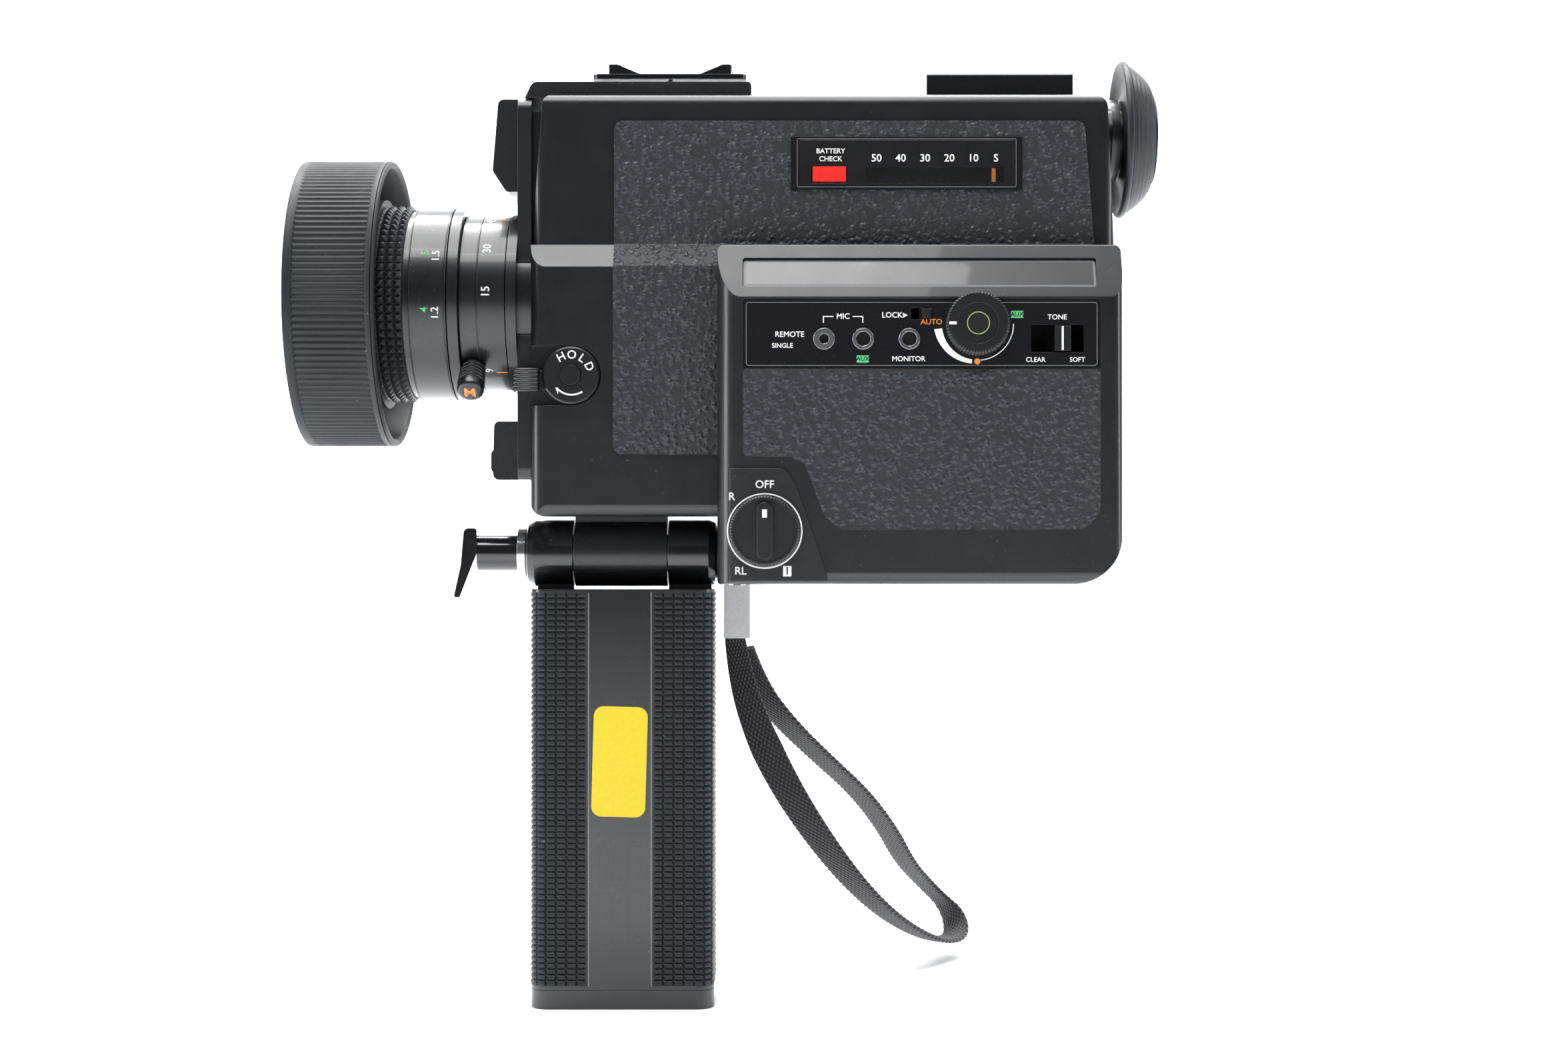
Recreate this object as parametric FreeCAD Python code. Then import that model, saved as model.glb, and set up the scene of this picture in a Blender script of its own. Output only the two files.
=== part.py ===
import FreeCAD, Part
import math
import os

V = FreeCAD.Vector
X_AXIS = V(1, 0, 0)
Y_AXIS = V(0, 1, 0)
Z_AXIS = V(0, 0, 1)

# Sound cine camera. +Z is up, the lens points along -X, the control side faces -Y and the film
# door faces +Y. The origin is the mouth of the tripod socket in the underside. Millimetres.

# Fits
gap = 0.3                 # clear space between pieces that move past each other
seat = 0.05               # clear space around an inlay in its recess
running = 0.05            # radial clearance of a shaft in its bore

# Body casing
wall = 2.0
front_x = -76.7           # front face of the casing
front_lean = 3.1          # how far the top of the front face leans back
rear_x = 72.9
rear_lean = 2.2
top_z = 125.4
belly_z = 17.0            # underside of the front half
box_front_x = -28.8       # where the deeper rear half begins
waist_z = 80.5            # lower edge of the slope between the two side faces
waist_rise = 6.0
left_y = -24.0            # lower side face on the control side
upper_left_y = -20.0      # upper side face on the control side
right_y = 26.0
left_split_y = -16.0      # seam between frame and left cover
right_split_y = 20.0      # seam between frame and right covers
edge_r = 3.0
belly_r = 4.0
box_corner_r = 13.0
web_y = -8.0              # wall between mechanism and film chamber
web_t = 2.0

# Sound box on the control side
box_y = -36.0
box_top_z = 85.5
box_slope_top_z = 84.3
box_slope_low_z = 71.7
box_slope_y = -29.6
box_edge_r = 6.0
panel_t = 1.2             # thickness of the inlaid panels

# Panels on the sound box
jack_panel_x = (-22.2, 66.7)
jack_panel_z = (53.8, 71.1)
jack_z = 61.2
jack_xs = (-2.05, 7.7, 19.2)
jack_bores = (1.25, 1.8, 1.8)
jack_ring_r = 2.65
jack_body_r = 4.0
jack_depth = 16.0
level_x = 36.1
level_z = 64.9
level_r = 7.8
level_hub_r = 4.9
level_bore_r = 2.6
level_height = 3.0
lock_x = (22.4, 24.6)
lock_z = (66.4, 68.6)
lock_travel = 2.4           # from locked, as drawn, back towards the sockets
tone_x = (49.5, 62.6)
tone_z = (57.9, 64.8)
tone_knob_x = 57.3
tone_knob_w = 4.0
leather_t = 0.6
switch_x = -16.8
switch_z = 13.4
switch_r = 8.7
switch_ring_r = 9.4
switch_height = 3.4
switch_bar_w = 3.7
switch_bar_l = 14.0
shaft_r = 2.0
name_plate_half = (44.2, 4.1)

# Counter window, upper control side
counter_x = (-10.3, 48.9)
counter_z = (top_z - 24.9, top_z - 11.3)
counter_frame = 2.2
counter_slot_x = (8.9, 44.2)
counter_slot_z = (counter_z[0] + 1.8, counter_z[0] + 5.9)
needle_x = 41.6
needle_w = 1.0
button_x = (-4.7, 3.8)
button_z = (counter_z[0] + 2.0, counter_z[0] + 5.8)

# Exposure lever at the front of the control side
exposure_x = -66.1
exposure_z = 52.9
exposure_r = 7.3
exposure_button_r = 2.55
exposure_pocket_r = 7.6
exposure_pocket_depth = 3.6
tab_x = (-80.2, -74.2)
tab_z = (48.8, 54.5)

# Lens: radii about the optical axis, and stations along it
lens_z = 73.0
sleeve_r = 20.5
sleeve_bore_r = sleeve_r - 2.0
base_ring_r = sleeve_r + 3.0
base_ring_x = front_x - 6.2
zoom_ring_r = sleeve_r + 2.6
index_x = -95.0
index_r = sleeve_r + 4.7
focus_rear_x = -97.6
focus_grip_x = -108.8
focus_r = sleeve_r + 4.8
focus_grip_r = focus_r + 0.55
focus_front_x = -118.0
front_glass_r = sleeve_r - 0.5
hood_r = 37.4
hood_front_x = -137.0
hood_rear_x = -114.0
hood_t = 2.0
hood_throat_r = focus_r - 0.8
zoom_lever_angle = 48.0
zoom_lever_x = -92.0
zoom_lever_r = 3.7
zoom_lever_reach = 33.0

# Top: housing, zoom rocker and accessory shoe
housing_x = (-78.6, -20.4)
housing_z = top_z + 3.4
rocker_x = (-61.8, -21.8)
rocker_plate_margin = 1.2
rocker_y = 8.0            # half width of the rocker
rocker_t = 1.3
rocker_tilt = 1.4         # clear height under the rocker's ends
shoe_x = (25.0, 63.0)
shoe_y = 10.6
shoe_slot = 9.35          # half width of the slot for an accessory foot
shoe_lip = 6.2            # half width between the lips
shoe_z = top_z + 6.8

# Finder
eye_z = top_z - 8.9
eye_tube_r = 8.25
eye_tube_x = rear_x + 4.1
eye_bore_r = 6.0
cup_r = 20.5
cup_rear_x = eye_tube_x + 8.0

# Film transport
gate_x = -25.0
gate_t = 1.5
shutter_r = 16.0
shutter_z = 86.0
shutter_x = -29.0
cartridge_x = (-23.0, 54.0)
cartridge_y = (-5.5, 18.5)
cartridge_z = (10.0, 108.0)
flywheel = (-6.0, 28.0, 17.0)    # x, z, radius
motor = (34.0, 28.0, 10.0)       # x, z, radius
motor_y = (-33.0, -13.2)
pulley_r = 3.0
belt_y = (-12.6, -9.6)
belt_t = 0.8
capstan_r = 1.25

# Film door
door_front_x = -27.4
door_pin_r = 1.5
door_knuckle_r = 2.6

# Grip and its hinge
hinge_y = 3.0
hinge_z = 7.4
knuckle_r = 8.8
knuckle_end_r = 2.4        # rounding of the outer ends of the outer barrels
neck_half = 3.2           # half width of the necks that carry the barrels
knuckles = (-80.1, -67.4, -42.4, -29.4)
pivot_r = 4.9
grip_x = (-78.0, -30.1)
grip_y = (-12.0, 12.0)
grip_top_z = -1.8
grip_cap_z = -105.7
grip_base_z = -110.7
grip_corner_r = 5.0
grip_wall = 1.6
rubber_t = 0.8
strip_x = (-63.0, -46.0)
cell_r = 7.1
cell_l = 50.2
trigger_stem_r = 4.85
trigger_x = -94.5
trigger_tip = (-99.0, -4.2)
trigger_w = 10.0
trigger_travel = 3.5
collar_r = 6.7
collar_l = 2.1

# Wrist strap: a flat woven band, drawn as a round cord of the same section area
strap_r = 2.2
clip_x = (-27.9, -21.0)
clip_y = (0.0, 6.0)
clip_z = -15.1
lug_t = 2.0
strap_points = [
    (-25.2, 3.0, -13.6),
    (-23.8, 3.0, -25.0),
    (-19.0, 4.5, -40.0),
    (-11.0, 9.5, -56.5),
    (-1.0, 17.5, -72.5),
    (9.5, 27.5, -86.5),
    (20.5, 40.0, -97.5),
    (32.0, 55.0, -105.0),
    (39.0, 66.5, -105.5),
    (37.0, 75.0, -98.5),
    (29.5, 72.0, -91.0),
    (23.0, 62.0, -83.0),
    (17.5, 51.0, -72.0),
    (9.0, 39.0, -60.0),
    (-1.5, 27.0, -49.5),
    (-12.0, 16.0, -38.5),
    (-19.5, 9.5, -28.0),
    (-22.5, 4.5, -18.0),
]

pieces = {}


def unit(vector):
    return vector.multiply(1.0 / vector.Length)


def outline(corners, place):
    """A closed wire through (u, v, radius) corners; place turns u, v into a point."""
    arcs = []
    count = len(corners)
    for index, (u, v, radius) in enumerate(corners):
        here = V(u, v, 0)
        before = unit(V(*corners[index - 1][:2], 0) - here)
        after = unit(V(*corners[(index + 1) % count][:2], 0) - here)
        half = before.getAngle(after) / 2
        if radius == 0:
            arcs.append((here, here, here))
            continue
        reach = radius / math.tan(half)
        middle = here + unit(before + after) * (radius / math.sin(half) - radius)
        arcs.append((here + before * reach, middle, here + after * reach))
    edges = []
    for index, (start, middle, end) in enumerate(arcs):
        following = arcs[(index + 1) % count][0]
        if (end - start).Length > 1e-6:
            bend = [place(point.x, point.y) for point in (start, middle, end)]
            edges.append(Part.Arc(*bend).toShape())
        if (following - end).Length > 1e-6:
            ends = [place(point.x, point.y) for point in (end, following)]
            edges.append(Part.LineSegment(*ends).toShape())
    return Part.Wire(edges)


def along_y(corners, y0, y1, offset=0.0):
    """A prism of an X, Z outline between two Y planes, its outline moved out by offset."""
    wire = outline(corners, lambda u, v: V(u, y0, v))
    if offset:
        wire = wire.makeOffset2D(offset, 2)
    return Part.Face(wire).extrude(V(0, y1 - y0, 0))


def along_x(corners, x0, x1, offset=0.0):
    """A prism of a Y, Z outline between two X planes."""
    wire = outline(corners, lambda u, v: V(x0, u, v))
    if offset:
        wire = wire.makeOffset2D(offset, 2)
    return Part.Face(wire).extrude(V(x1 - x0, 0, 0))


def along_z(corners, z0, z1, offset=0.0):
    """A prism of an X, Y outline between two Z planes."""
    wire = outline(corners, lambda u, v: V(u, v, z0))
    if offset:
        wire = wire.makeOffset2D(offset, 2)
    return Part.Face(wire).extrude(V(0, 0, z1 - z0))


def rectangle(u, v, radius=0.0):
    return [(u[0], v[0], radius), (u[1], v[0], radius), (u[1], v[1], radius), (u[0], v[1], radius)]


def box(x, y, z):
    return Part.makeBox(x[1] - x[0], y[1] - y[0], z[1] - z[0], V(x[0], y[0], z[0]))


def rod_x(radius, x0, x1, y, z):
    return Part.makeCylinder(radius, x1 - x0, V(x0, y, z), X_AXIS)


def rod_y(radius, y0, y1, x, z):
    return Part.makeCylinder(radius, y1 - y0, V(x, y0, z), Y_AXIS)


def rod_z(radius, z0, z1, x, y):
    return Part.makeCylinder(radius, z1 - z0, V(x, y, z0), Z_AXIS)


def turned_x(profile, y, z):
    """A turned piece about an axis along X, from (x, radius) corners."""
    points = [V(x, y, z + radius) for x, radius in profile]
    wire = Part.makePolygon(points + points[:1])
    return Part.Face(wire).revolve(V(0, y, z), X_AXIS, 360)


def turned_y(profile, x, z):
    """A turned piece about an axis along Y, from (y, radius) corners."""
    points = [V(x + radius, y, z) for y, radius in profile]
    wire = Part.makePolygon(points + points[:1])
    return Part.Face(wire).revolve(V(x, 0, z), Y_AXIS, 360)


# Casing: one envelope, cut at two seams into left cover, frame and right cover
def envelope(offset=0.0):
    """The casing's outside, or with an offset the hollow inside it."""
    whole = None
    for low_z, x_start in ((belly_z, front_x), (0.0, box_front_x)):
        sides = [(x_start, low_z, belly_r if low_z else 1.0), (rear_x, low_z,
            box_corner_r if not low_z else 0.0),
                 (rear_x, waist_z, 0.0), (rear_x - rear_lean, top_z, belly_r)]
        if low_z:
            sides += [(front_x + front_lean, top_z, edge_r), (front_x, waist_z + waist_rise, 0.0)]
        else:
            sides += [(x_start, top_z, 0.0)]
        lower = [(left_y, low_z, edge_r), (right_y, low_z, edge_r), (right_y, waist_z + waist_rise, 0.0),
                 (upper_left_y, waist_z + waist_rise, 0.0), (left_y, waist_z, 0.0)]
        upper = [(upper_left_y, waist_z, 0.0), (right_y, waist_z, 0.0), (right_y, top_z, edge_r),
                 (upper_left_y, top_z, edge_r)]
        span = (front_x - 1, rear_x + 1)
        outside = along_y(sides, left_y - 1, right_y + 1, offset)
        low_plan = along_z(rectangle((x_start, rear_x), (left_y, right_y), belly_r), -5, top_z, offset)
        high_plan = along_z(rectangle((x_start, rear_x), (upper_left_y, right_y), belly_r), 0, top_z + 5,
            offset)
        low_part = outside.common(along_x(lower, *span, offset)).common(low_plan)
        high_part = outside.common(along_x(upper, *span, offset)).common(high_plan)
        part = low_part.fuse(high_part)
        whole = part if whole is None else whole.fuse(part)
    return whole.removeSplitter()


casing = envelope()
hollow = envelope(-wall)
far = 200.0
left_slab = box((-far, far), (-far, left_split_y), (-far, far))
middle_slab = box((-far, far), (left_split_y, right_split_y), (-far, far))
right_slab = box((-far, far), (right_split_y, far), (-far, far))
shell = casing.cut(hollow)
box_hole = box((-24.0, 68.0), (-far, left_split_y), (5.0, 70.0))

# Left cover, with recesses for the window, the exposure lever and the leather
window_hole = box(counter_x, (-far, left_split_y), counter_z)
pocket_floor_y = left_y + exposure_pocket_depth
pocket_front = box((front_x - 1, exposure_x), (left_y - 1, pocket_floor_y),
                   (exposure_z - exposure_pocket_r, exposure_z + exposure_pocket_r))
pocket = pocket_front.fuse(rod_y(exposure_pocket_r, left_y - 1, pocket_floor_y, exposure_x, exposure_z))
pocket_wall_front = box((front_x, exposure_x), (left_y, pocket_floor_y + wall),
                        (exposure_z - exposure_pocket_r - wall, exposure_z + exposure_pocket_r + wall))
pocket_wall = pocket_wall_front.fuse(
    rod_y(exposure_pocket_r + wall, left_y, pocket_floor_y + wall, exposure_x, exposure_z))
exposure_bore = rod_y(shaft_r + running, -far, left_split_y, exposure_x, exposure_z)
left_cover = shell.common(left_slab).fuse(pocket_wall.common(casing)).removeSplitter()
left_cover = left_cover.cut(box_hole).cut(window_hole).cut(pocket).cut(exposure_bore)
throat = rod_x(sleeve_r + gap, front_x - 9, front_x + 8, 0, lens_z)
pieces["left_cover"] = left_cover.cut(throat)

# Frame: the middle band, its web, the lens throat, the tripod boss and the fixed hinge knuckle
frame = shell.common(middle_slab)
web = box((gate_x + 3.0, rear_x), (web_y, web_y + web_t), (0, top_z)).common(hollow)
boss_r = 9.0
boss_h = 9.5
socket_r = 5.5
boss = rod_z(boss_r, 0.5, boss_h, 0, 0).common(box((-far, far), (web_y, far), (0, boss_h)))
neck = box((knuckles[1] + gap, knuckles[2] - gap), (hinge_y - neck_half, hinge_y + neck_half),
           (hinge_z, belly_z + wall / 2))
neck = neck.fuse(rod_x(knuckle_r, knuckles[1] + gap, knuckles[2] - gap, hinge_y, hinge_z))
pivot_bore = rod_x(pivot_r + running, knuckles[0] - 5, knuckles[3] + 5, hinge_y, hinge_z)
frame = frame.fuse(web).fuse(boss).fuse(neck).removeSplitter()
frame = frame.cut(pivot_bore).cut(rod_z(socket_r, -1, boss_h + 1, 0, 0))
frame = frame.cut(throat)
frame = frame.cut(rod_x(eye_tube_r + seat, rear_x - 15, rear_x + 5, 0, eye_z))
frame = frame.cut(rod_y(capstan_r + 0.1, web_y - 1, web_y + 3, flywheel[0], flywheel[1]))
pieces["main_frame"] = frame

# Right side: a fixed front cover and the hinged film door behind it
right_shell = shell.common(right_slab)
front_half = box((-far, door_front_x - gap), (-far, far), (-far, far))
door_half = box((door_front_x, far), (-far, far), (-far, far))
pin_axis_y = right_y + 0.6
pin_x = door_front_x - door_knuckle_r - gap
pin_z = (20.0, 118.0)
knuckle_length = (pin_z[1] - pin_z[0]) / 3
door_joint = rod_z(door_knuckle_r + gap, pin_z[0] + knuckle_length - gap,
                   pin_z[1] - knuckle_length + gap, pin_x, pin_axis_y)
fixed_knuckles = None
for low in (pin_z[0], pin_z[1] - knuckle_length):
    knuckle = rod_z(door_knuckle_r, low, low + knuckle_length, pin_x, pin_axis_y)
    fixed_knuckles = knuckle if fixed_knuckles is None else fixed_knuckles.fuse(knuckle)
pin_hole = rod_z(door_pin_r + running, pin_z[0] + 1, pin_z[1] + 5, pin_x, pin_axis_y)
lens_side_cover = right_shell.common(front_half).cut(door_joint).fuse(fixed_knuckles).cut(pin_hole)
pieces["right_cover"] = lens_side_cover.cut(throat)
door = right_shell.common(door_half)
door_arm = box((pin_x, door_front_x + 3), (right_y - 1.8, right_y),
               (pin_z[0] + knuckle_length, pin_z[1] - knuckle_length))
door_knuckle = rod_z(door_knuckle_r, pin_z[0] + knuckle_length + gap, pin_z[1] - knuckle_length - gap,
                     pin_x, pin_axis_y)
door_arm = door_arm.common(box((-far, far), (-far, far), (pin_z[0] + knuckle_length + gap,
                                                       pin_z[1] - knuckle_length - gap)))
arm_room = box((pin_x - gap, door_front_x + 1), (right_y - 1.8 - gap, right_y + 1),
               (pin_z[0] + knuckle_length, pin_z[1] - knuckle_length))
pieces["right_cover"] = pieces["right_cover"].cut(arm_room)
latch_x = (58.0, 66.0)
latch_z = (58.0, 76.0)
latch_travel = 4.0
latch_slot = box((latch_x[0] + 2, latch_x[1] - 2), (right_split_y, right_y + 1),
                 (latch_z[0] + 2 - latch_travel, latch_z[1] - 2))
door = door.fuse(door_arm).fuse(door_knuckle).cut(pin_hole)
door = door.cut(latch_slot).removeSplitter()
pieces["film_door"] = door
pieces["door_hinge_pin"] = rod_z(door_pin_r, pin_z[0] + 1, pin_z[1], pin_x, pin_axis_y)
latch = box(latch_x, (right_y + 0.1, right_y + 2.1), latch_z)
latch_stem = box((latch_x[0] + 2.1, latch_x[1] - 2.1), (right_y - wall - 0.6, right_y + 0.2),
                 (latch_z[0] + 2.1, latch_z[1] - 2.1))
latch_stem = latch_stem.fuse(box((latch_x[0] + 0.5, latch_x[1] - 0.5),
                                 (right_y - wall - 1.4, right_y - wall - 0.2),
                                 (latch_z[0] + 2.1, latch_z[1] - 2.1)))
pieces["door_latch"] = latch.fuse(latch_stem).removeSplitter()

# Leather on the upper control side
upper_leather = [
    (-55.4, 32.8, 2.3), (box_front_x - seat, 32.8, 0), (box_front_x - seat, box_top_z + seat, 0),
    (rear_x - 5.6, box_top_z + seat, 0), (rear_x - 8.1, top_z - 7.2, 2.3), (-55.4, top_z - 7.2, 2.3),
]
skin = envelope(leather_t).cut(casing)
strip = along_y(upper_leather, left_y - 5, left_split_y)
counter_room = box((counter_x[0] - seat, counter_x[1] + seat), (-far, left_split_y),
                   (counter_z[0] - seat, counter_z[1] + seat))
pieces["upper_leatherette"] = strip.common(skin).cut(counter_room)

# Sound box cover with its recesses
box_outline = [(box_front_x, 0.0, 1.0), (rear_x - 0.3, 0.0, box_corner_r), (rear_x - 0.3, box_top_z, 2.0),
               (box_front_x, box_top_z, 2.0)]
box_section = [(left_y, 0.0, 0), (left_y, box_top_z, 0), (box_slope_y, box_top_z, 1.0),
               (box_slope_y, box_slope_top_z, 0), (box_y, box_slope_low_z, 0), (box_y, 0.0, edge_r)]
box_plan = [(box_front_x, left_y, 0), (box_front_x, box_y, box_edge_r), (rear_x - 0.3, box_y, edge_r),
            (rear_x - 0.3, left_y, 0)]


def sound_box(offset=0.0):
    sides = along_y(box_outline, box_y - 1, left_y + 1, offset)
    section = [(y + (2 * wall if y == left_y and offset else 0), z, r) for y, z, r in box_section
               if not (z == box_slope_top_z)]
    plan = [(x, y + (2 * wall if y == left_y and offset else 0), r) for x, y, r in box_plan]
    spans = along_x(section, box_front_x - 1, rear_x + 1, offset)
    return sides.common(spans).common(along_z(plan, -1, box_top_z + 1, offset))


slope_angle = math.degrees(math.atan2(abs(box_y - box_slope_y), box_slope_top_z - box_slope_low_z))
cover = sound_box().common(box((-far, far), (-far, left_y), (-far, far))).cut(sound_box(-wall))
jack_outline = rectangle(jack_panel_x, jack_panel_z, 0.8)
sound_leather = [
    (jack_panel_x[0], 53.5, 0.8), (jack_panel_x[0], 32.3, 0.8), (-10.8, 32.0, 2.0), (-6.9, 30.3, 2.0),
    (-1.8, 16.7, 2.0), (1.8, 13.9, 2.0), (jack_panel_x[1], 13.8, 6.5), (jack_panel_x[1], 53.5, 0.8),
]
switch_outline = [
    (-28.3, 1.0, 0.5), (-0.9, 1.0, 0.5), (-9.3, 25.3, 2.0), (-12.0, 29.0, 2.0), (-28.3, 29.0, 0.8),
]
panel_back = box_y + panel_t
cover = cover.cut(along_y(jack_outline, box_y - 1, panel_back, seat))
cover = cover.cut(along_y(sound_leather, box_y - 1, box_y + leather_t, seat))
for jack_x in jack_xs:
    cover = cover.cut(rod_y(jack_body_r + seat, box_y - 1, left_y, jack_x, jack_z))
cover = cover.cut(rod_y(level_hub_r, box_y - 1, left_y, level_x, level_z))
cover = cover.cut(rod_y(shaft_r + running, box_y - 1, left_y, switch_x, switch_z))
cover = cover.cut(box((lock_x[0] - lock_travel - 1, lock_x[1] + 1), (box_y - 1, left_y),
                      (lock_z[0] - 1, lock_z[1] + 1)))
cover = cover.cut(box(tone_x, (box_y - 1, left_y), tone_z))
pieces["sound_box_cover"] = cover


def on_slope(shape):
    """Tilts a shape drawn flat at Y = 0 onto the slope under the box's top edge."""
    shape.rotate(V(0, 0, 0), X_AXIS, -slope_angle)
    shape.translate(V((jack_panel_x[0] + jack_panel_x[1]) / 2 - 0.3, (box_y + box_slope_y) / 2,
                      (box_slope_top_z + box_slope_low_z) / 2))
    return shape


name_outline = rectangle((-name_plate_half[0], name_plate_half[0]), (-name_plate_half[1],
    name_plate_half[1]), 0.6)
name_recess = on_slope(along_y(name_outline, -3, leather_t, seat))
pieces["sound_box_cover"] = pieces["sound_box_cover"].cut(name_recess)
pieces["sound_leatherette"] = along_y(sound_leather, box_y, box_y + leather_t)

# Jack panel with its sockets and controls
panel = along_y(jack_outline, box_y + 0.2, panel_back)
for jack_x in jack_xs:
    panel = panel.cut(rod_y(jack_ring_r + seat, box_y - 1, panel_back + 1, jack_x, jack_z))
panel = panel.cut(rod_y(shaft_r + running, box_y - 1, panel_back + 1, level_x, level_z))
panel = panel.cut(box((lock_x[0] - lock_travel - gap, lock_x[1] + gap), (box_y - 1, panel_back + 1),
                      (lock_z[0] - gap, lock_z[1] + gap)))
panel = panel.cut(box(tone_x, (box_y - 1, panel_back + 1), tone_z))
pieces["jack_panel"] = panel
sockets = []
for jack_x, bore in zip(jack_xs, jack_bores):
    ring = rod_y(jack_ring_r, box_y - 0.6, panel_back, jack_x, jack_z)
    barrel = rod_y(jack_body_r, panel_back, box_y + jack_depth, jack_x, jack_z)
    socket = ring.fuse(barrel).cut(rod_y(bore, box_y - 1, box_y + jack_depth - 1.5, jack_x, jack_z))
    sockets.append(socket)
pieces["jack_sockets"] = Part.makeCompound(sockets)
level_knob = turned_y([(box_y - level_height, level_bore_r), (box_y - level_height, level_r - 0.5),
                       (box_y - level_height + 0.5, level_r), (box_y - 0.1, level_r), (box_y - 0.1, 0.0),
                       (box_y - level_height + 1.0, 0.0), (box_y - level_height + 1.0, level_bore_r)],
                      level_x, level_z)
pieces["level_knob"] = level_knob.fuse(rod_y(shaft_r, box_y - 0.5, box_y + 6, level_x,
    level_z)).removeSplitter()
lock_slide = box(lock_x, (box_y - 0.9, box_y + 0.6), lock_z)
pieces["level_lock_slide"] = lock_slide.fuse(
    box((lock_x[0] - 0.7, lock_x[1] + 0.7), (panel_back + 0.05, panel_back + 0.7), (lock_z[0] - 0.7,
        lock_z[1] + 0.7))
    ).fuse(box(lock_x, (box_y, panel_back + 0.3), lock_z)).removeSplitter()
tone_knob = box((tone_knob_x - tone_knob_w / 2, tone_knob_x + tone_knob_w / 2), (box_y - 0.6, box_y + 3.0),
                (tone_z[0] + gap, tone_z[1] - gap))
pieces["tone_slide"] = tone_knob

# Main switch
switch_panel_t = 0.8
switch_plate = along_y(switch_outline, box_y - switch_panel_t, box_y)
plate_room = along_z([(box_front_x, left_y, 0), (box_front_x, box_y - switch_panel_t, box_edge_r),
                      (0.0, box_y - switch_panel_t, 0), (0.0, left_y, 0)], 0, 40)
switch_plate = switch_plate.common(plate_room).cut(pieces["sound_box_cover"])
switch_plate = switch_plate.cut(pieces["sound_leatherette"])
pieces["switch_panel"] = switch_plate.cut(
    rod_y(shaft_r + running, box_y - 2, box_y + 1, switch_x, switch_z))
ring_front = box_y - switch_panel_t
dial = turned_y([(ring_front - 0.1, 0.0), (ring_front - 0.1, switch_ring_r), (ring_front - 0.8,
    switch_ring_r),
                 (ring_front - 1.0, switch_r), (ring_front - 1.6, switch_r), (ring_front - 1.9,
                     switch_r - 0.4),
                 (ring_front - 1.9, 0.0)], switch_x, switch_z)
bar = along_y(rectangle((switch_x - switch_bar_w / 2, switch_x + switch_bar_w / 2),
                        (switch_z - switch_bar_l / 2, switch_z + switch_bar_l / 2), switch_bar_w / 2 - 0.05),
              ring_front - 1.9 - switch_height, ring_front - 1.0)
dial_shaft = rod_y(shaft_r, ring_front - 0.5, left_y - 1, switch_x, switch_z)
pieces["switch_dial"] = dial.fuse(bar).fuse(dial_shaft).removeSplitter()

# Counter window with its needle and the battery check button
bezel_y = upper_left_y - 1.0
bezel = box(counter_x, (bezel_y, upper_left_y + wall), counter_z)
glass_x = (counter_x[0] + counter_frame, counter_x[1] - counter_frame)
glass_z = (counter_z[0] + 0.8, counter_z[1] - 0.8)
button_hole = box((button_x[0] - gap, button_x[1] + gap), (-far, 0), (button_z[0] - gap, button_z[1] + gap))
bezel = bezel.cut(box(glass_x, (bezel_y - 1, bezel_y + 1.2), glass_z)).cut(button_hole)
slot = box(counter_slot_x, (-far, 0), counter_slot_z)
pieces["counter_bezel"] = bezel.cut(slot)
glass = box((glass_x[0] + seat, glass_x[1] - seat), (bezel_y + 0.2, bezel_y + 1.0),
            (glass_z[0] + seat, glass_z[1] - seat))
pieces["counter_window"] = glass.cut(button_hole)
needle = box((needle_x - needle_w / 2, needle_x + needle_w / 2), (bezel_y + 1.5, bezel_y + 2.0),
             (counter_slot_z[0] + gap, counter_slot_z[1] - gap))
pieces["counter_needle"] = needle
button = box(button_x, (bezel_y - 0.7, upper_left_y + wall + 2), button_z)
pieces["battery_button"] = button

# Exposure lever and its lock button
tab_rise = 2.2
exposure_top = left_y - 0.2
exposure_disc = turned_y([(pocket_floor_y - 0.1, exposure_button_r + running), (pocket_floor_y - 0.1,
    exposure_r),
                          (exposure_top, exposure_r), (exposure_top - 0.4, exposure_r - 0.4),
                          (exposure_top - 0.4, exposure_button_r + running)], exposure_x, exposure_z)
tab = box(tab_x, (left_y - tab_rise, pocket_floor_y - 0.6), tab_z)
arm = box((tab_x[0] + 2, exposure_x - 3.5), (left_y + 0.4, pocket_floor_y - 0.6), (tab_z[0] + 0.4,
    tab_z[1] - 0.4))
pieces["exposure_lever"] = exposure_disc.fuse(tab).fuse(arm).removeSplitter()
lock_button = rod_y(exposure_button_r, exposure_top - 1.4, pocket_floor_y - 1.2, exposure_x, exposure_z)
button_stem = rod_y(shaft_r, pocket_floor_y - 2, left_split_y - 1.5, exposure_x, exposure_z)
pieces["exposure_button"] = lock_button.fuse(button_stem).removeSplitter()

# Front of the casing: plate round the lens, sensor block above it and foot block below it
plate_t = 3.6
front_plate_y = (-18.6, 22.0)
front_plate_z = (26.5, top_z - 1.0)
front_plate = along_x(rectangle(front_plate_y, front_plate_z, 3.0), front_x - plate_t, front_x)
front_plate = front_plate.fuse(along_y([
    (front_x - 0.1, waist_z + waist_rise, 0), (front_x - 0.1, front_plate_z[1] - 3.0, 0),
    (front_x + front_lean, front_plate_z[1] - 3.0, 0)], front_plate_y[0] + 3.0,
        front_plate_y[1] - 3.0)).cut(casing)
pieces["front_plate"] = front_plate.cut(throat)
sensor = along_y([(front_x - 8.8, top_z - 1.0, 1.5), (front_x - 10.3, top_z - 19.4, 1.5),
                  (front_x - 6.8, top_z - 24.8, 1.5), (front_x - plate_t, top_z - 24.8, 0),
                  (front_x - plate_t, top_z - 1.0, 0)], -16.0, 20.0)
sensor_window = box((front_x - 14, front_x - 7.3), (-5.0, 9.0), (top_z - 17.4, top_z - 7.4))
pieces["sensor_block"] = sensor.cut(sensor_window)
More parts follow.
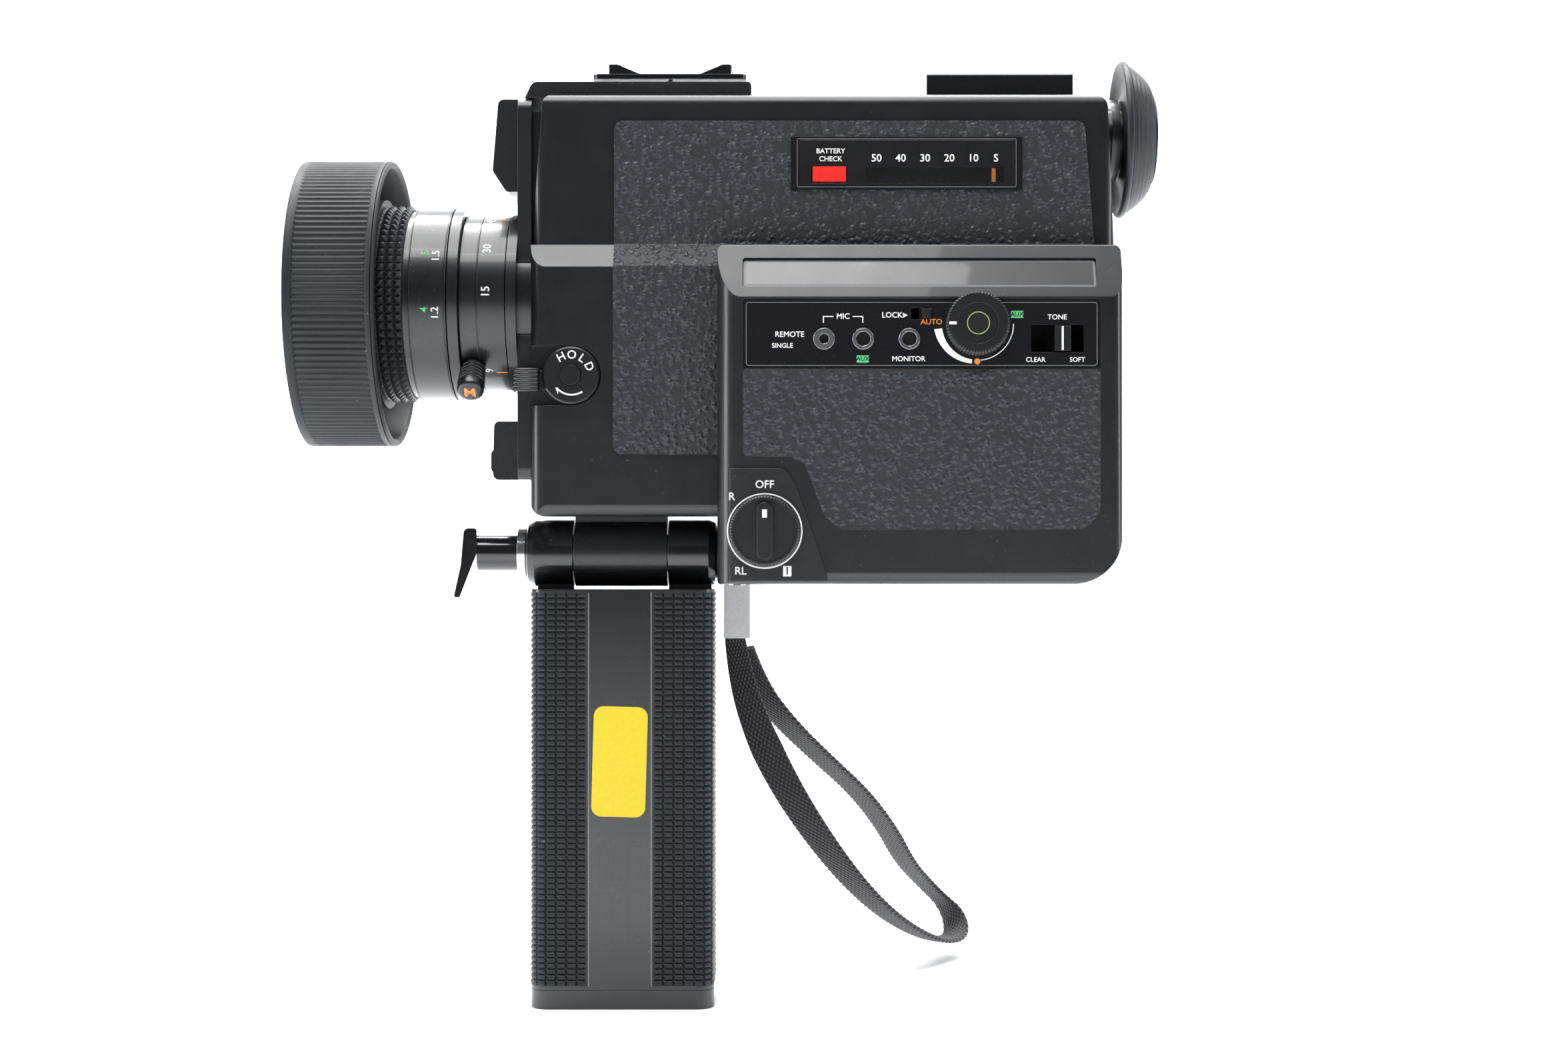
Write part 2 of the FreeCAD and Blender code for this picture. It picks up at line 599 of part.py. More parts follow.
foot_front_x = front_x - 10.0
foot_block = along_y([(front_x - plate_t, 26.5, 0), (foot_front_x, 26.5, 1.4), (foot_front_x - 0.4, 28.6,
    0.3),
                      (foot_front_x - 0.8, 29.2, 0.3), (foot_front_x - 0.8, 33.4, 0.3),
                      (foot_front_x - 0.2, 34.2, 0.3), (foot_front_x, 41.6, 1.4), (front_x - plate_t,
                          41.6, 0)],
                     -15.0, 18.0)
pieces["foot_block"] = foot_block

# Top: housing, rocker and shoe
roof = along_y([(housing_x[0], top_z - 0.8, 0), (housing_x[1], top_z - 0.8, 0), (housing_x[1], housing_z,
    1.0),
                (housing_x[0] + 2.0, housing_z, 2.0)], -17.0, right_split_y - gap)
pieces["top_housing"] = roof.cut(casing)
plate_x = (rocker_x[0] - rocker_plate_margin, rocker_x[1] + rocker_plate_margin)
rocker_plate = along_z(rectangle(plate_x, (-rocker_y - 1.2, rocker_y + 1.2), 2.0), housing_z,
    housing_z + 1.0)
rocker_mid_x = (rocker_x[0] + rocker_x[1]) / 2
rib = rod_y(1.2, -rocker_y + 1, rocker_y - 1, rocker_mid_x, housing_z + 1.0)
pieces["zoom_rocker_plate"] = rocker_plate.fuse(rib).removeSplitter().cut(roof)
rocker_z = housing_z + 1.0 + rocker_tilt
rocker = along_z(rectangle(rocker_x, (-rocker_y, rocker_y), 2.0), rocker_z, rocker_z + rocker_t)
for tall_x, low_x in ((-57.7, -47.2), (-25.8, -36.4)):
    wedge = along_y([(tall_x, rocker_z + 0.5, 0), (tall_x, rocker_z + 4.0, 0.5),
                     (tall_x + (low_x - tall_x) * 0.2, rocker_z + 4.0, 0.5), (low_x, rocker_z + 0.5, 0)],
                    -rocker_y + 1.0, rocker_y - 1.0)
    rocker = rocker.fuse(wedge)
pieces["zoom_rocker"] = rocker.removeSplitter().cut(
    rod_y(1.2 + running, -rocker_y - 1, rocker_y + 1, rocker_mid_x, housing_z + 1.0))
shoe = along_x(rectangle((-shoe_y, shoe_y), (top_z, shoe_z), 0.8), *shoe_x)
shoe = shoe.cut(box((shoe_x[0] + 3.0, shoe_x[1] + 1), (-shoe_slot, shoe_slot), (top_z + 2.0, shoe_z - 2.2)))
pieces["accessory_shoe"] = shoe.cut(box((shoe_x[0] + 3.0, shoe_x[1] + 1), (-shoe_lip, shoe_lip),
                                        (top_z + 2.0, shoe_z + 1)))

# Lens
barrel = turned_x([(front_x + 6, sleeve_bore_r), (front_x + 6, sleeve_r), (front_x - plate_t - 0.05,
    sleeve_r),
                   (front_x - plate_t - 0.05, base_ring_r), (base_ring_x, base_ring_r), (base_ring_x,
                       sleeve_r),
                   (index_x, sleeve_r), (index_x, index_r), (focus_rear_x, index_r), (focus_rear_x,
                       sleeve_r),
                   (focus_grip_x, sleeve_r), (focus_grip_x, sleeve_bore_r)], 0, lens_z)
pieces["lens_barrel"] = barrel
pieces["zoom_ring"] = turned_x([(base_ring_x - gap, sleeve_r + running), (base_ring_x - gap, zoom_ring_r),
                                (index_x + gap, zoom_ring_r), (index_x + gap, sleeve_r + running)], 0,
                                    lens_z)
lever = rod_z(zoom_lever_r, zoom_ring_r - 0.5, zoom_lever_reach, zoom_lever_x, 0)
lever = lever.cut(rod_x(zoom_ring_r, zoom_lever_x - 9, zoom_lever_x + 9, 0, 0))
lever.rotate(V(0, 0, 0), X_AXIS, 90 + zoom_lever_angle)
lever.translate(V(0, 0, lens_z))
index_room = rod_x(index_r + gap, focus_rear_x - 1, index_x + gap, 0, lens_z)
pieces["zoom_lever"] = lever.cut(index_room)
focus_bore = sleeve_r + running
pieces["focus_ring"] = turned_x([(focus_rear_x - gap, focus_bore), (focus_rear_x - gap, focus_r),
                                 (focus_grip_x + 1.3, focus_r), (focus_grip_x + 1.3, focus_r - 0.9),
                                 (focus_front_x, focus_r - 0.9), (focus_front_x, focus_bore)], 0, lens_z)
pieces["focus_grip"] = turned_x([(focus_grip_x, focus_r - 0.9), (focus_grip_x, focus_grip_r),
                                 (focus_front_x, focus_grip_r), (focus_front_x, focus_r - 0.9)], 0, lens_z)
pieces["lens_hood"] = turned_x([
    (hood_rear_x, hood_r - hood_t), (hood_rear_x, hood_r), (hood_front_x, hood_r),
    (hood_front_x, hood_r - hood_t - 0.4), (focus_front_x - 1.5, hood_throat_r - 1.0),
    (focus_front_x - 1.5, sleeve_r), (focus_front_x, sleeve_r), (focus_front_x, focus_r + 0.3),
    (hood_front_x + 2.4, hood_r - hood_t)], 0, lens_z)
front_glass_x = focus_front_x + 1.2
glass_ball_r = 52.0
front_glass = rod_x(front_glass_r, front_glass_x, front_glass_x + 7, 0, lens_z)
ball = Part.makeSphere(glass_ball_r, V(front_glass_x + glass_ball_r, 0, lens_z))
pieces["front_lens"] = front_glass.common(ball)
rear_glass = rod_x(sleeve_bore_r - 0.1, -78.0, -73.0, 0, lens_z)
pieces["rear_lens"] = rear_glass.common(Part.makeSphere(40.0, V(-78.0 + 40.0, 0, lens_z)))

# Finder
pieces["eyepiece_tube"] = turned_x([
    (rear_x - 14, eye_bore_r), (rear_x - 14, eye_tube_r), (eye_tube_x, eye_tube_r), (eye_tube_x,
        eye_bore_r)],
    0, eye_z)
pieces["eyepiece_lens"] = rod_x(eye_bore_r, rear_x - 8, rear_x - 4, 0, eye_z).common(
    Part.makeSphere(20.0, V(rear_x - 4 - 20.0, 0, eye_z)))
pieces["eyecup"] = turned_x([
    (eye_tube_x - 1.2, eye_tube_r), (eye_tube_x - 1.2, cup_r), (eye_tube_x + 0.9, cup_r),
    (cup_rear_x - 3.0, cup_r - 4.5), (cup_rear_x, cup_r - 9.5), (cup_rear_x, eye_bore_r + 1.0),
    (eye_tube_x, eye_bore_r + 1.0), (eye_tube_x, eye_tube_r)], 0, eye_z)
diopter_x = (rear_x - 1.2, eye_tube_x - 1.5)
pieces["diopter_ring"] = turned_x([
    (diopter_x[0] + 1.6, eye_tube_r + running), (diopter_x[0] + 1.6, eye_tube_r + 2.2),
    (diopter_x[1], eye_tube_r + 2.2), (diopter_x[1], eye_tube_r + running)], 0, eye_z)

# Film transport
gate = box((gate_x, gate_x + gate_t), (web_y + web_t, 16.0), (lens_z - 18, lens_z + 18))
pieces["film_gate"] = gate.cut(box((gate_x - 1, gate_x + 3), (-2.9, 2.9), (lens_z - 2.1, lens_z + 2.1)))
shutter = rod_x(shutter_r, shutter_x, shutter_x + 0.8, 1.5, shutter_z)
sector = along_x([(1.5, shutter_z, 0), (1.5 - 30, shutter_z - 30, 0), (1.5 + 30, shutter_z - 30, 0)],
                 shutter_x - 1, shutter_x + 2).cut(rod_x(4.0, shutter_x - 2, shutter_x + 3, 1.5, shutter_z))
pieces["shutter_disc"] = shutter.cut(sector).fuse(
    rod_x(1.5, shutter_x - 12, shutter_x + 2, 1.5, shutter_z)).removeSplitter()
cartridge = along_y(rectangle(cartridge_x, cartridge_z, 5.0), *cartridge_y)
cartridge = cartridge.cut(rod_z(4.5, cartridge_z[0] - 1, cartridge_z[0] + 14, 0, 0).fuse(
    box((-boss_r - 0.5, boss_r + 0.5), (cartridge_y[0] - 1, boss_r + 0.5), (0, boss_h + 0.5))))
pieces["film_cartridge"] = cartridge.cut(rod_y(capstan_r + 1.0, -10, 5, flywheel[0], flywheel[1]))
motor_x, motor_z, motor_r = motor
wheel_x, wheel_z, wheel_r = flywheel
motor_body = rod_y(motor_r, *motor_y, motor_x, motor_z)
pieces["drive_motor"] = motor_body.cut(rod_y(1.05, motor_y[1] - 8, motor_y[1] + 1, motor_x, motor_z))
pieces["motor_pulley"] = rod_y(pulley_r, *belt_y, motor_x, motor_z).fuse(
    rod_y(1.0, motor_y[1] - 6, belt_y[0] + 0.5, motor_x, motor_z)).removeSplitter()
pieces["flywheel"] = rod_y(wheel_r, *belt_y, wheel_x, wheel_z).fuse(
    rod_y(capstan_r, belt_y[0], 4.0, wheel_x, wheel_z)).removeSplitter()


def belt_shape(extra, y0, y1):
    """Everything inside the belt's run round both wheels, at a given distance from them."""
    big = wheel_r + extra
    small = pulley_r + extra
    distance = motor_x - wheel_x
    lean = math.asin((big - small) / distance)
    corners = []
    for x, radius in ((wheel_x, big), (motor_x, small)):
        for sign in (-1, 1):
            corners.append(V(x + radius * math.sin(lean), y0, wheel_z + sign * radius * math.cos(lean)))
    middle = Part.makePolygon([corners[0], corners[1], corners[3], corners[2], corners[0]])
    body = Part.Face(middle).extrude(V(0, y1 - y0, 0))
    return body.fuse(rod_y(big, y0, y1, wheel_x, wheel_z)).fuse(rod_y(small, y0, y1, motor_x, wheel_z))


pieces["drive_belt"] = belt_shape(running + belt_t, belt_y[0] + 0.4, belt_y[1] - 0.4).cut(
    belt_shape(running, belt_y[0] - 1, belt_y[1] + 1)).removeSplitter()

# Grip: shell with two hinge knuckles, rubber, battery cells, cap
grip_plan = rectangle(grip_x, grip_y, grip_corner_r)
grip = along_z(grip_plan, grip_cap_z, grip_top_z)
inner = along_z(grip_plan, grip_cap_z - 1, grip_top_z - 2.0, -grip_wall)
for x0, x1, inward in ((knuckles[0], knuckles[1], 1), (knuckles[3], knuckles[2], -1)):
    knuckle_barrel = turned_x([
        (x1, 0.0), (x1, knuckle_r), (x0 + inward * knuckle_end_r, knuckle_r),
        (x0 + inward * knuckle_end_r * 0.3, knuckle_r - knuckle_end_r * 0.3),
        (x0, knuckle_r - knuckle_end_r), (x0, 0.0)], hinge_y, hinge_z)
    low, high = min(x0, x1), max(x0, x1)
    foot = box((max(low, grip_x[0] + 1), min(high, grip_x[1] - 1)), (hinge_y - neck_half,
        hinge_y + neck_half),
               (grip_top_z - 1, hinge_z))
    grip = grip.fuse(knuckle_barrel).fuse(foot)
pivot_x = (-70.2, -32.0)
grip = grip.cut(inner).cut(rod_x(pivot_r + running, knuckles[0] - 1, pivot_x[1], hinge_y, hinge_z))
rubber_z = (grip_cap_z + 1.0, grip_top_z - 0.8)
rubber_room = along_z(grip_plan, *rubber_z).cut(along_z(grip_plan, *rubber_z, -rubber_t))
strip_block = box(strip_x, (-far, 0), (-far, far))
rubber = rubber_room.cut(strip_block)
pieces["grip_shell"] = grip.cut(rubber).removeSplitter()
pieces["grip_rubber"] = rubber
pieces["hinge_pivot"] = rod_x(pivot_r, *pivot_x, hinge_y, hinge_z)
cap = along_z(grip_plan, grip_base_z, grip_cap_z - 0.1)
pieces["base_cap"] = cap.cut(along_z(grip_plan, grip_base_z + 2, grip_cap_z, -grip_wall - 1.0))
cells = []
for column in (-1, 0, 1):
    for row in (0, 1):
        top = grip_top_z - 2.3 - row * (cell_l + 0.2)
        cells.append(rod_z(cell_r, top - cell_l, top, sum(grip_x) / 2 + column * (2 * cell_r + 0.2), 0))
pieces["batteries"] = Part.makeCompound(cells)

# Trigger on the hinge's axis
pieces["trigger_collar"] = rod_x(collar_r, knuckles[0] - collar_l, knuckles[0], hinge_y, hinge_z).cut(
    rod_x(trigger_stem_r + running, knuckles[0] - 5, knuckles[0] + 1, hinge_y, hinge_z))
stem = rod_x(trigger_stem_r, trigger_x + 1.5, pivot_x[0] - trigger_travel - 0.3, hinge_y, hinge_z)
blade = along_y([(trigger_x + 1.6, hinge_z + 6.6, 0.8), (trigger_x - 1.8, hinge_z + 6.6, 1.4),
                 (trigger_x - 2.6, hinge_z - 3.0, 6.0), (trigger_tip[0], trigger_tip[1], 0.5),
                 (trigger_tip[0] + 1.6, trigger_tip[1], 0.5), (trigger_x + 0.4, hinge_z - 3.0, 6.0),
                 (trigger_x + 1.6, hinge_z, 3.0)], hinge_y - trigger_w / 2, hinge_y + trigger_w / 2)
pieces["trigger"] = stem.fuse(blade).removeSplitter()

# Wrist strap: lug, clip and band
strap_y = (clip_y[0] + clip_y[1]) / 2
clip_mid_x = (clip_x[0] + clip_x[1]) / 2
lug = box((clip_mid_x - lug_t / 2, clip_mid_x + lug_t / 2), (strap_y - 2, strap_y + 2), (-5.5, 0.0))
pin_z_strap = -3.4
pieces["strap_lug"] = lug.cut(rod_x(1.0 + running, -40, 0, strap_y, pin_z_strap))
clip_top = -6.0
clip = box(clip_x, clip_y, (clip_z, clip_top)).fuse(
    box(clip_x, (clip_y[0], strap_y - 2 - gap), (clip_top - 0.5, -1.0)))
for x0 in (clip_x[0], clip_x[1] - 1.2):
    clip = clip.fuse(box((x0, x0 + 1.2), clip_y, (clip_top - 0.5, -1.0)))
pieces["strap_clip"] = clip.fuse(rod_x(1.0, clip_x[0] + 0.5, clip_x[1] - 0.5, strap_y,
    pin_z_strap)).removeSplitter()


def cord(points, radius):
    """A tube along straight runs joined by tangent arcs."""
    nodes = [V(*point) for point in points]
    edges = []
    last = nodes[0]
    radii = []
    for index in range(1, len(nodes) - 1):
        here = nodes[index]
        before = unit(nodes[index - 1] - here)
        after = unit(nodes[index + 1] - here)
        run = min((nodes[index - 1] - here).Length, (nodes[index + 1] - here).Length)
        reach = 0.45 * run
        half = before.getAngle(after) / 2
        bend = reach * math.tan(half)
        radii.append(bend)
        start = here + before * reach
        end = here + after * reach
        middle = here + unit(before + after) * (bend / math.sin(half) - bend)
        edges.append(Part.LineSegment(last, start).toShape())
        edges.append(Part.Arc(start, middle, end).toShape())
        last = end
    edges.append(Part.LineSegment(last, nodes[-1]).toShape())
    path = Part.Wire(edges)
    first = nodes[1] - nodes[0]
    section = Part.Wire([Part.makeCircle(radius, nodes[0], first)])
    tube = path.makePipeShell([section], True, False)
    print("cord length", round(path.Length, 1), "bend radii", [round(value, 1) for value in radii],
          "volume ratio", round(abs(tube.Volume) / (math.pi * radius ** 2 * path.Length), 3))
    return tube


pieces["wrist_strap"] = cord(strap_points, strap_r)

# Tripod socket and screws
socket_depth = 8.0
socket_bore_r = 3.175
pieces["tripod_socket"] = rod_z(socket_r, 0.0, boss_h, 0, 0).cut(rod_z(socket_bore_r, -1, socket_depth,
    0, 0))
screws = []
for x, y in ((55.0, -10.0), (-20.0, -10.0), (55.0, 12.0), (-22.0, 12.0)):
    head = rod_z(2.4, -0.0, wall * 0.6, x, y)
    screws.append(head.cut(box((x - 3, x + 3), (y - 0.4, y + 0.4), (-1, 0.6))))
pieces["cover_screws"] = Part.makeCompound(screws)
for screw in screws:
    pieces["main_frame"] = pieces["main_frame"].cut(screw)

os.makedirs("parts", exist_ok=True)
for name, shape in pieces.items():
    solids = shape.Solids
    print(name, "solids", len(solids), "volume", round(shape.Volume, 1), "valid", shape.isValid())
    kept = solids[0] if len(solids) == 1 else Part.makeCompound(solids)
    kept.exportStep("parts/" + name + ".step")
print(len(pieces), "pieces")
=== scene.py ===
"""Sound cine camera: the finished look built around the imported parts. Metres throughout."""
import math

import bpy
import numpy as np
from mathutils import Euler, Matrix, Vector


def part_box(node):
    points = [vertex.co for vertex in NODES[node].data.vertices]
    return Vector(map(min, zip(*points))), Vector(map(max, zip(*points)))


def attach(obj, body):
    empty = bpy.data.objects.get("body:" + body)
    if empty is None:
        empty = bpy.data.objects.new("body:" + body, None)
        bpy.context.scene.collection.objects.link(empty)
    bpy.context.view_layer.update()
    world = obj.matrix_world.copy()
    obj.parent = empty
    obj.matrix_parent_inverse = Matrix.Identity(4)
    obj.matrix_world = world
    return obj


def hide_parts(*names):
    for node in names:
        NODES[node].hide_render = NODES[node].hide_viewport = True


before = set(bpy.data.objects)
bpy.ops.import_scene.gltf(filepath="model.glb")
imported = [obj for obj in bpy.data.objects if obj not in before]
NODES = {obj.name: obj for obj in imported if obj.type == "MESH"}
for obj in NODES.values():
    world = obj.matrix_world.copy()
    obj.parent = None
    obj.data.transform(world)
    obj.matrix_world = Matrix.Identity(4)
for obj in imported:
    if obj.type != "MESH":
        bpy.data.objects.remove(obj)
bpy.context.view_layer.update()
MM = 0.001


# ---------------------------------------------------------------- stations read from the parts
def span(node, axis):
    """Lowest and highest coordinate of a node along an axis, in millimetres."""
    low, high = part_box(node)
    return low[axis] / MM, high[axis] / MM


def middle(node, axis):
    low, high = span(node, axis)
    return (low + high) / 2


LENS_Z = middle("zoom_ring", 2)
BOX_FACE = -36.0
JACK_PANEL_FACE = span("jack_panel", 1)[0]
SWITCH_PANEL_FACE = span("switch_panel", 1)[0]
LEFT_FACE = -24.0
NAME_X = 21.95
NAME_FACE = ((-36.0, 71.7), (-29.6, 84.3))
NAME_HALF = (44.0, 3.9)
BEZEL_FACE = span("counter_bezel", 1)[0]


def show(thing):
    bpy.context.scene.collection.objects.link(thing)


# ---------------------------------------------------------------- camera, floor and light
def aim_camera():
    """A level camera on the control side, square to the casing."""
    data = bpy.data.cameras.new("studio_camera")
    data.lens = 53.9
    data.sensor_width = 36.0
    data.clip_start = 0.05
    data.clip_end = 20.0
    camera = bpy.data.objects.new("studio_camera", data)
    camera.location = (-12 * MM, -620 * MM, 15.5 * MM)
    camera.rotation_euler = Euler((math.radians(90), 0, 0))
    show(camera)
    bpy.context.scene.camera = camera


def area_light(name, place, target, size, power, colour=(1, 1, 1)):
    data = bpy.data.lights.new(name, "AREA")
    data.shape = "RECTANGLE"
    data.size = size[0]
    data.size_y = size[1]
    data.energy = power
    data.color = colour
    light = bpy.data.objects.new(name, data)
    light.location = place
    direction = Vector(target) - Vector(place)
    light.rotation_euler = direction.to_track_quat("-Z", "Y").to_euler()
    show(light)


def studio_world():
    """A white surround where the camera looks past the sweep, dim where it only lights the pieces."""
    world = bpy.data.worlds.new("studio_world")
    world.use_nodes = True
    tree = world.node_tree
    dim = tree.nodes["Background"]
    dim.inputs["Color"].default_value = (0.93, 0.95, 1.0, 1)
    dim.inputs["Strength"].default_value = 0.12
    bright = tree.nodes.new("ShaderNodeBackground")
    bright.inputs["Color"].default_value = (0.97, 0.98, 1.0, 1)
    choice = tree.nodes.new("ShaderNodeMixShader")
    seen = tree.nodes.new("ShaderNodeLightPath")
    tree.links.new(seen.outputs["Is Camera Ray"], choice.inputs[0])
    tree.links.new(dim.outputs[0], choice.inputs[1])
    tree.links.new(bright.outputs[0], choice.inputs[2])
    tree.links.new(choice.outputs[0], tree.nodes["World Output"].inputs["Surface"])
    return world


def build_studio():
    """A pale sweep: flat floor that curves up into a wall behind, with soft light all round."""
    floor_z = span("base_cap", 2)[0] * MM
    across = np.linspace(-3.0, 3.0, 2)
    bend = np.linspace(0, math.pi / 2, 24)
    depth = np.concatenate([[-2.5], 1.2 + 0.6 * np.sin(bend), [1.8]])
    height = np.concatenate([[0.0], 0.6 - 0.6 * np.cos(bend), [3.0]]) + floor_z
    sweep = surface("studio_sweep", points_at(across, depth[:, None], height[:, None]), pale_paper())
    target = (0, 0, 0.02)
    area_light("key_overhead", (-0.15, 0.05, 1.0), target, (1.1, 0.8), 15)
    area_light("front_high", (-0.3, -0.9, 1.5), target, (0.9, 0.35), 7)
    area_light("left_strip", (-1.1, -0.20, 0.25), target, (0.35, 1.2), 8)
    area_light("right_strip", (1.1, -0.10, 0.30), target, (0.3, 1.1), 5)
    area_light("paper_wash", (0.0, 0.75, 1.6), (0, 1.6, 0.2), (2.6, 0.6), 80)
    area_light("floor_wash", (0.0, -0.1, 1.9), (0, -0.1, -0.2), (3.2, 2.4), 40)
    bpy.context.scene.world = studio_world()
    bpy.context.scene.view_settings.view_transform = "Standard"


# ---------------------------------------------------------------- meshes from arrays
def points_at(x, y, z):
    """Points from three values or arrays spread over each other's shapes."""
    return np.stack(np.broadcast_arrays(x, y, z), axis=-1)


def full_turn(count):
    return np.linspace(0, 2 * math.pi, count, endpoint=False)


def read(collection, key, kind=float):
    """An N by 3 array of what each element of a mesh collection holds."""
    values = np.zeros(len(collection) * 3, kind)
    collection.foreach_get(key, values)
    return values.reshape(-1, 3)


def run_length(points):
    """Distance along a line of points, from its start to each of them."""
    return np.concatenate([[0], np.cumsum(np.linalg.norm(np.diff(points, axis=0), axis=1))])


def resample(even, length, values):
    return np.stack([np.interp(even, length, column) for column in values.T], axis=-1)


def unit(rows):
    return rows / np.linalg.norm(rows, axis=1)[:, None]


def link(name, vertices, faces, material, smooth=True):
    mesh = bpy.data.meshes.new(name)
    faces = faces.tolist() if isinstance(faces, np.ndarray) else faces
    mesh.from_pydata(np.asarray(vertices, float).tolist(), [], faces)
    mesh.update()
    piece = bpy.data.objects.new(name, mesh)
    show(piece)
    mesh.materials.append(material)
    mesh.polygons.foreach_set("use_smooth", np.full(len(mesh.polygons), smooth))
    return piece


def grid_faces(rows, columns, wrap_rows=False, wrap_columns=False):
    """Quads between neighbouring points of a rows by columns grid."""
    row = np.arange(rows if wrap_rows else rows - 1)
    column = np.arange(columns if wrap_columns else columns - 1)
    r, c = np.meshgrid(row, column, indexing="ij")
    r_next = (r + 1) % rows
    c_next = (c + 1) % columns
    corners = [r * columns + c, r_next * columns + c, r_next * columns + c_next, r * columns + c_next]
    return np.stack(corners, axis=-1).reshape(-1, 4)


def surface(name, grid, material, wrap_rows=False, wrap_columns=False, flip=False, smooth=True):
    """An open or wrapped sheet through a rows by columns grid of points in metres."""
    faces = grid_faces(grid.shape[0], grid.shape[1], wrap_rows, wrap_columns)
    if flip:
        faces = faces[:, ::-1]
    return link(name, grid.reshape(-1, 3), faces, material, smooth)


def around_x(name, stations, radii, material, count=96, y=0.0, z=0.0, flip=False, smooth=True):
    """A turned ring about an axis along X: each (station, radius) pair of a closed profile is carried
    round the circle; radii may hold one value a point or one value a point and angle. Millimetres."""
    angle = full_turn(count)
    radii = np.asarray(radii, float)
    if radii.ndim == 1:
        radii = radii[:, None]
    stations = np.asarray(stations, float)[:, None]
    grid = points_at(stations, y - radii * np.cos(angle), z + radii * np.sin(angle)) * MM
    return surface(name, grid, material, wrap_rows=True, wrap_columns=True, flip=flip, smooth=smooth)


def face_along_y(piece, sign=-1):
    """Turns a flat piece over if its first face looks against the sign along Y."""
    if piece.data.polygons[0].normal.y * sign < 0:
        piece.data.flip_normals()


def flat_face(name, points, material, sign=-1):
    """One flat face through the points, looking along Y with the sign."""
    piece = link(name, points, [list(range(len(points)))], material, smooth=False)
    face_along_y(piece, sign)
    return piece


def smoothed(piece, angle=35.0):
    """Smooth faces, with the edges sharper than the angle left crisp."""
    mesh = piece.data
    mesh.set_sharp_from_angle(angle=math.radians(angle))
    return piece


# ---------------------------------------------------------------- materials
class Finish:
    """A node material under construction: object coordinates in, one shader out."""

    def __init__(self, name, colour, roughness, metallic=0.0, specular=0.5, coat=0.0):
        self.material = bpy.data.materials.new(name)
        self.material.use_nodes = True
        self.tree = self.material.node_tree
        self.shader = self.tree.nodes["Principled BSDF"]
        self.shader.inputs["Base Color"].default_value = (*colour, 1)
        self.shader.inputs["Roughness"].default_value = roughness
        self.shader.inputs["Metallic"].default_value = metallic
        self.shader.inputs["Specular IOR Level"].default_value = specular
        self.shader.inputs["Coat Weight"].default_value = coat
        self.coordinates = self.tree.nodes.new("ShaderNodeTexCoord")
        self.place = self.coordinates.outputs["Object"]
        self.normal = None
        self.colour = colour
        self.roughness = roughness

    def feed(self, socket, value):
        if hasattr(value, "is_output"):
            self.tree.links.new(value, socket)
        else:
            socket.default_value = value

    def node(self, kind, **inputs):
        made = self.tree.nodes.new("ShaderNode" + kind)
        for key, value in inputs.items():
            self.feed(made.inputs[key.replace("_", " ")], value)
        return made

    def noise(self, scale, detail=4.0, roughness=0.55, place=None):
        return self.node("TexNoise", Vector=place or self.place, Scale=scale, Detail=detail,
                         Roughness=roughness).outputs["Fac"]

    def cells(self, scale, feature="F1", place=None):
        made = self.node("TexVoronoi", Vector=place or self.place, Scale=scale)
        made.feature = feature
        return made.outputs["Distance"]

    def ramp(self, value, stops):
        made = self.node("ValToRGB", Fac=value)
        elements = made.color_ramp.elements
        while len(elements) < len(stops):
            elements.new(0.5)
        for element, (position, shade) in zip(elements, stops):
            element.position = position
            shade = shade if isinstance(shade, tuple) else (shade, shade, shade)
            element.color = (*shade, 1)
        return made.outputs["Color"]

    def mix(self, factor, first, second, blend="MIX"):
        made = self.tree.nodes.new("ShaderNodeMix")
        made.data_type = "RGBA"
        made.blend_type = blend
        self.feed(made.inputs[0], factor)
        for index, value in ((6, first), (7, second)):
            self.feed(made.inputs[index], (*value, 1) if isinstance(value, tuple) else value)
        return made.outputs[2]

    def arithmetic(self, operation, first, second=0.0):
        made = self.tree.nodes.new("ShaderNodeMath")
        made.operation = operation
        self.feed(made.inputs[0], first)
        self.feed(made.inputs[1], second)
        return made.outputs[0]

    def bump(self, height, distance, strength=1.0):
        made = self.node("Bump", Height=height, Distance=distance, Strength=strength)
        if self.normal is not None:
            self.tree.links.new(self.normal, made.inputs["Normal"])
        self.normal = made.outputs["Normal"]

    def rounded_edges(self, radius):
        made = self.node("Bevel", Radius=radius)
        made.samples = 4
        self.normal = made.outputs["Normal"]

    def vary_colour(self, factor, second):
        self.set_colour(self.mix(factor, self.colour, second))

    def set_colour(self, output):
        self.tree.links.new(output, self.shader.inputs["Base Color"])

    def vary_roughness(self, factor, low, high):
        made = self.node("MapRange", Value=factor)
        made.inputs["To Min"].default_value = low
        made.inputs["To Max"].default_value = high
        self.tree.links.new(made.outputs[0], self.shader.inputs["Roughness"])

    def dust(self, base, amount=0.35, scale=900.0):
        """Pale specks of lint: only the very tips of a fine noise pass the ramp."""
        specks = self.ramp(self.noise(scale, 2.0, 0.6), [(0.70, 0.0), (0.76, 1.0)])
        patches = self.ramp(self.noise(40.0, 3.0), [(0.45, 0.0), (0.7, amount)])
        return self.mix(self.arithmetic("MULTIPLY", specks, patches), base, (0.30, 0.31, 0.33))

    def done(self):
        if self.normal is not None:
            self.tree.links.new(self.normal, self.shader.inputs["Normal"])
        return self.material


def pale_paper():
    """Seamless white paper with the faintest mottle."""
    finish = Finish("pale_paper", (0.90, 0.905, 0.92), 0.7)
    finish.vary_colour(finish.noise(3.0), (0.93, 0.935, 0.945))
    return finish.done()


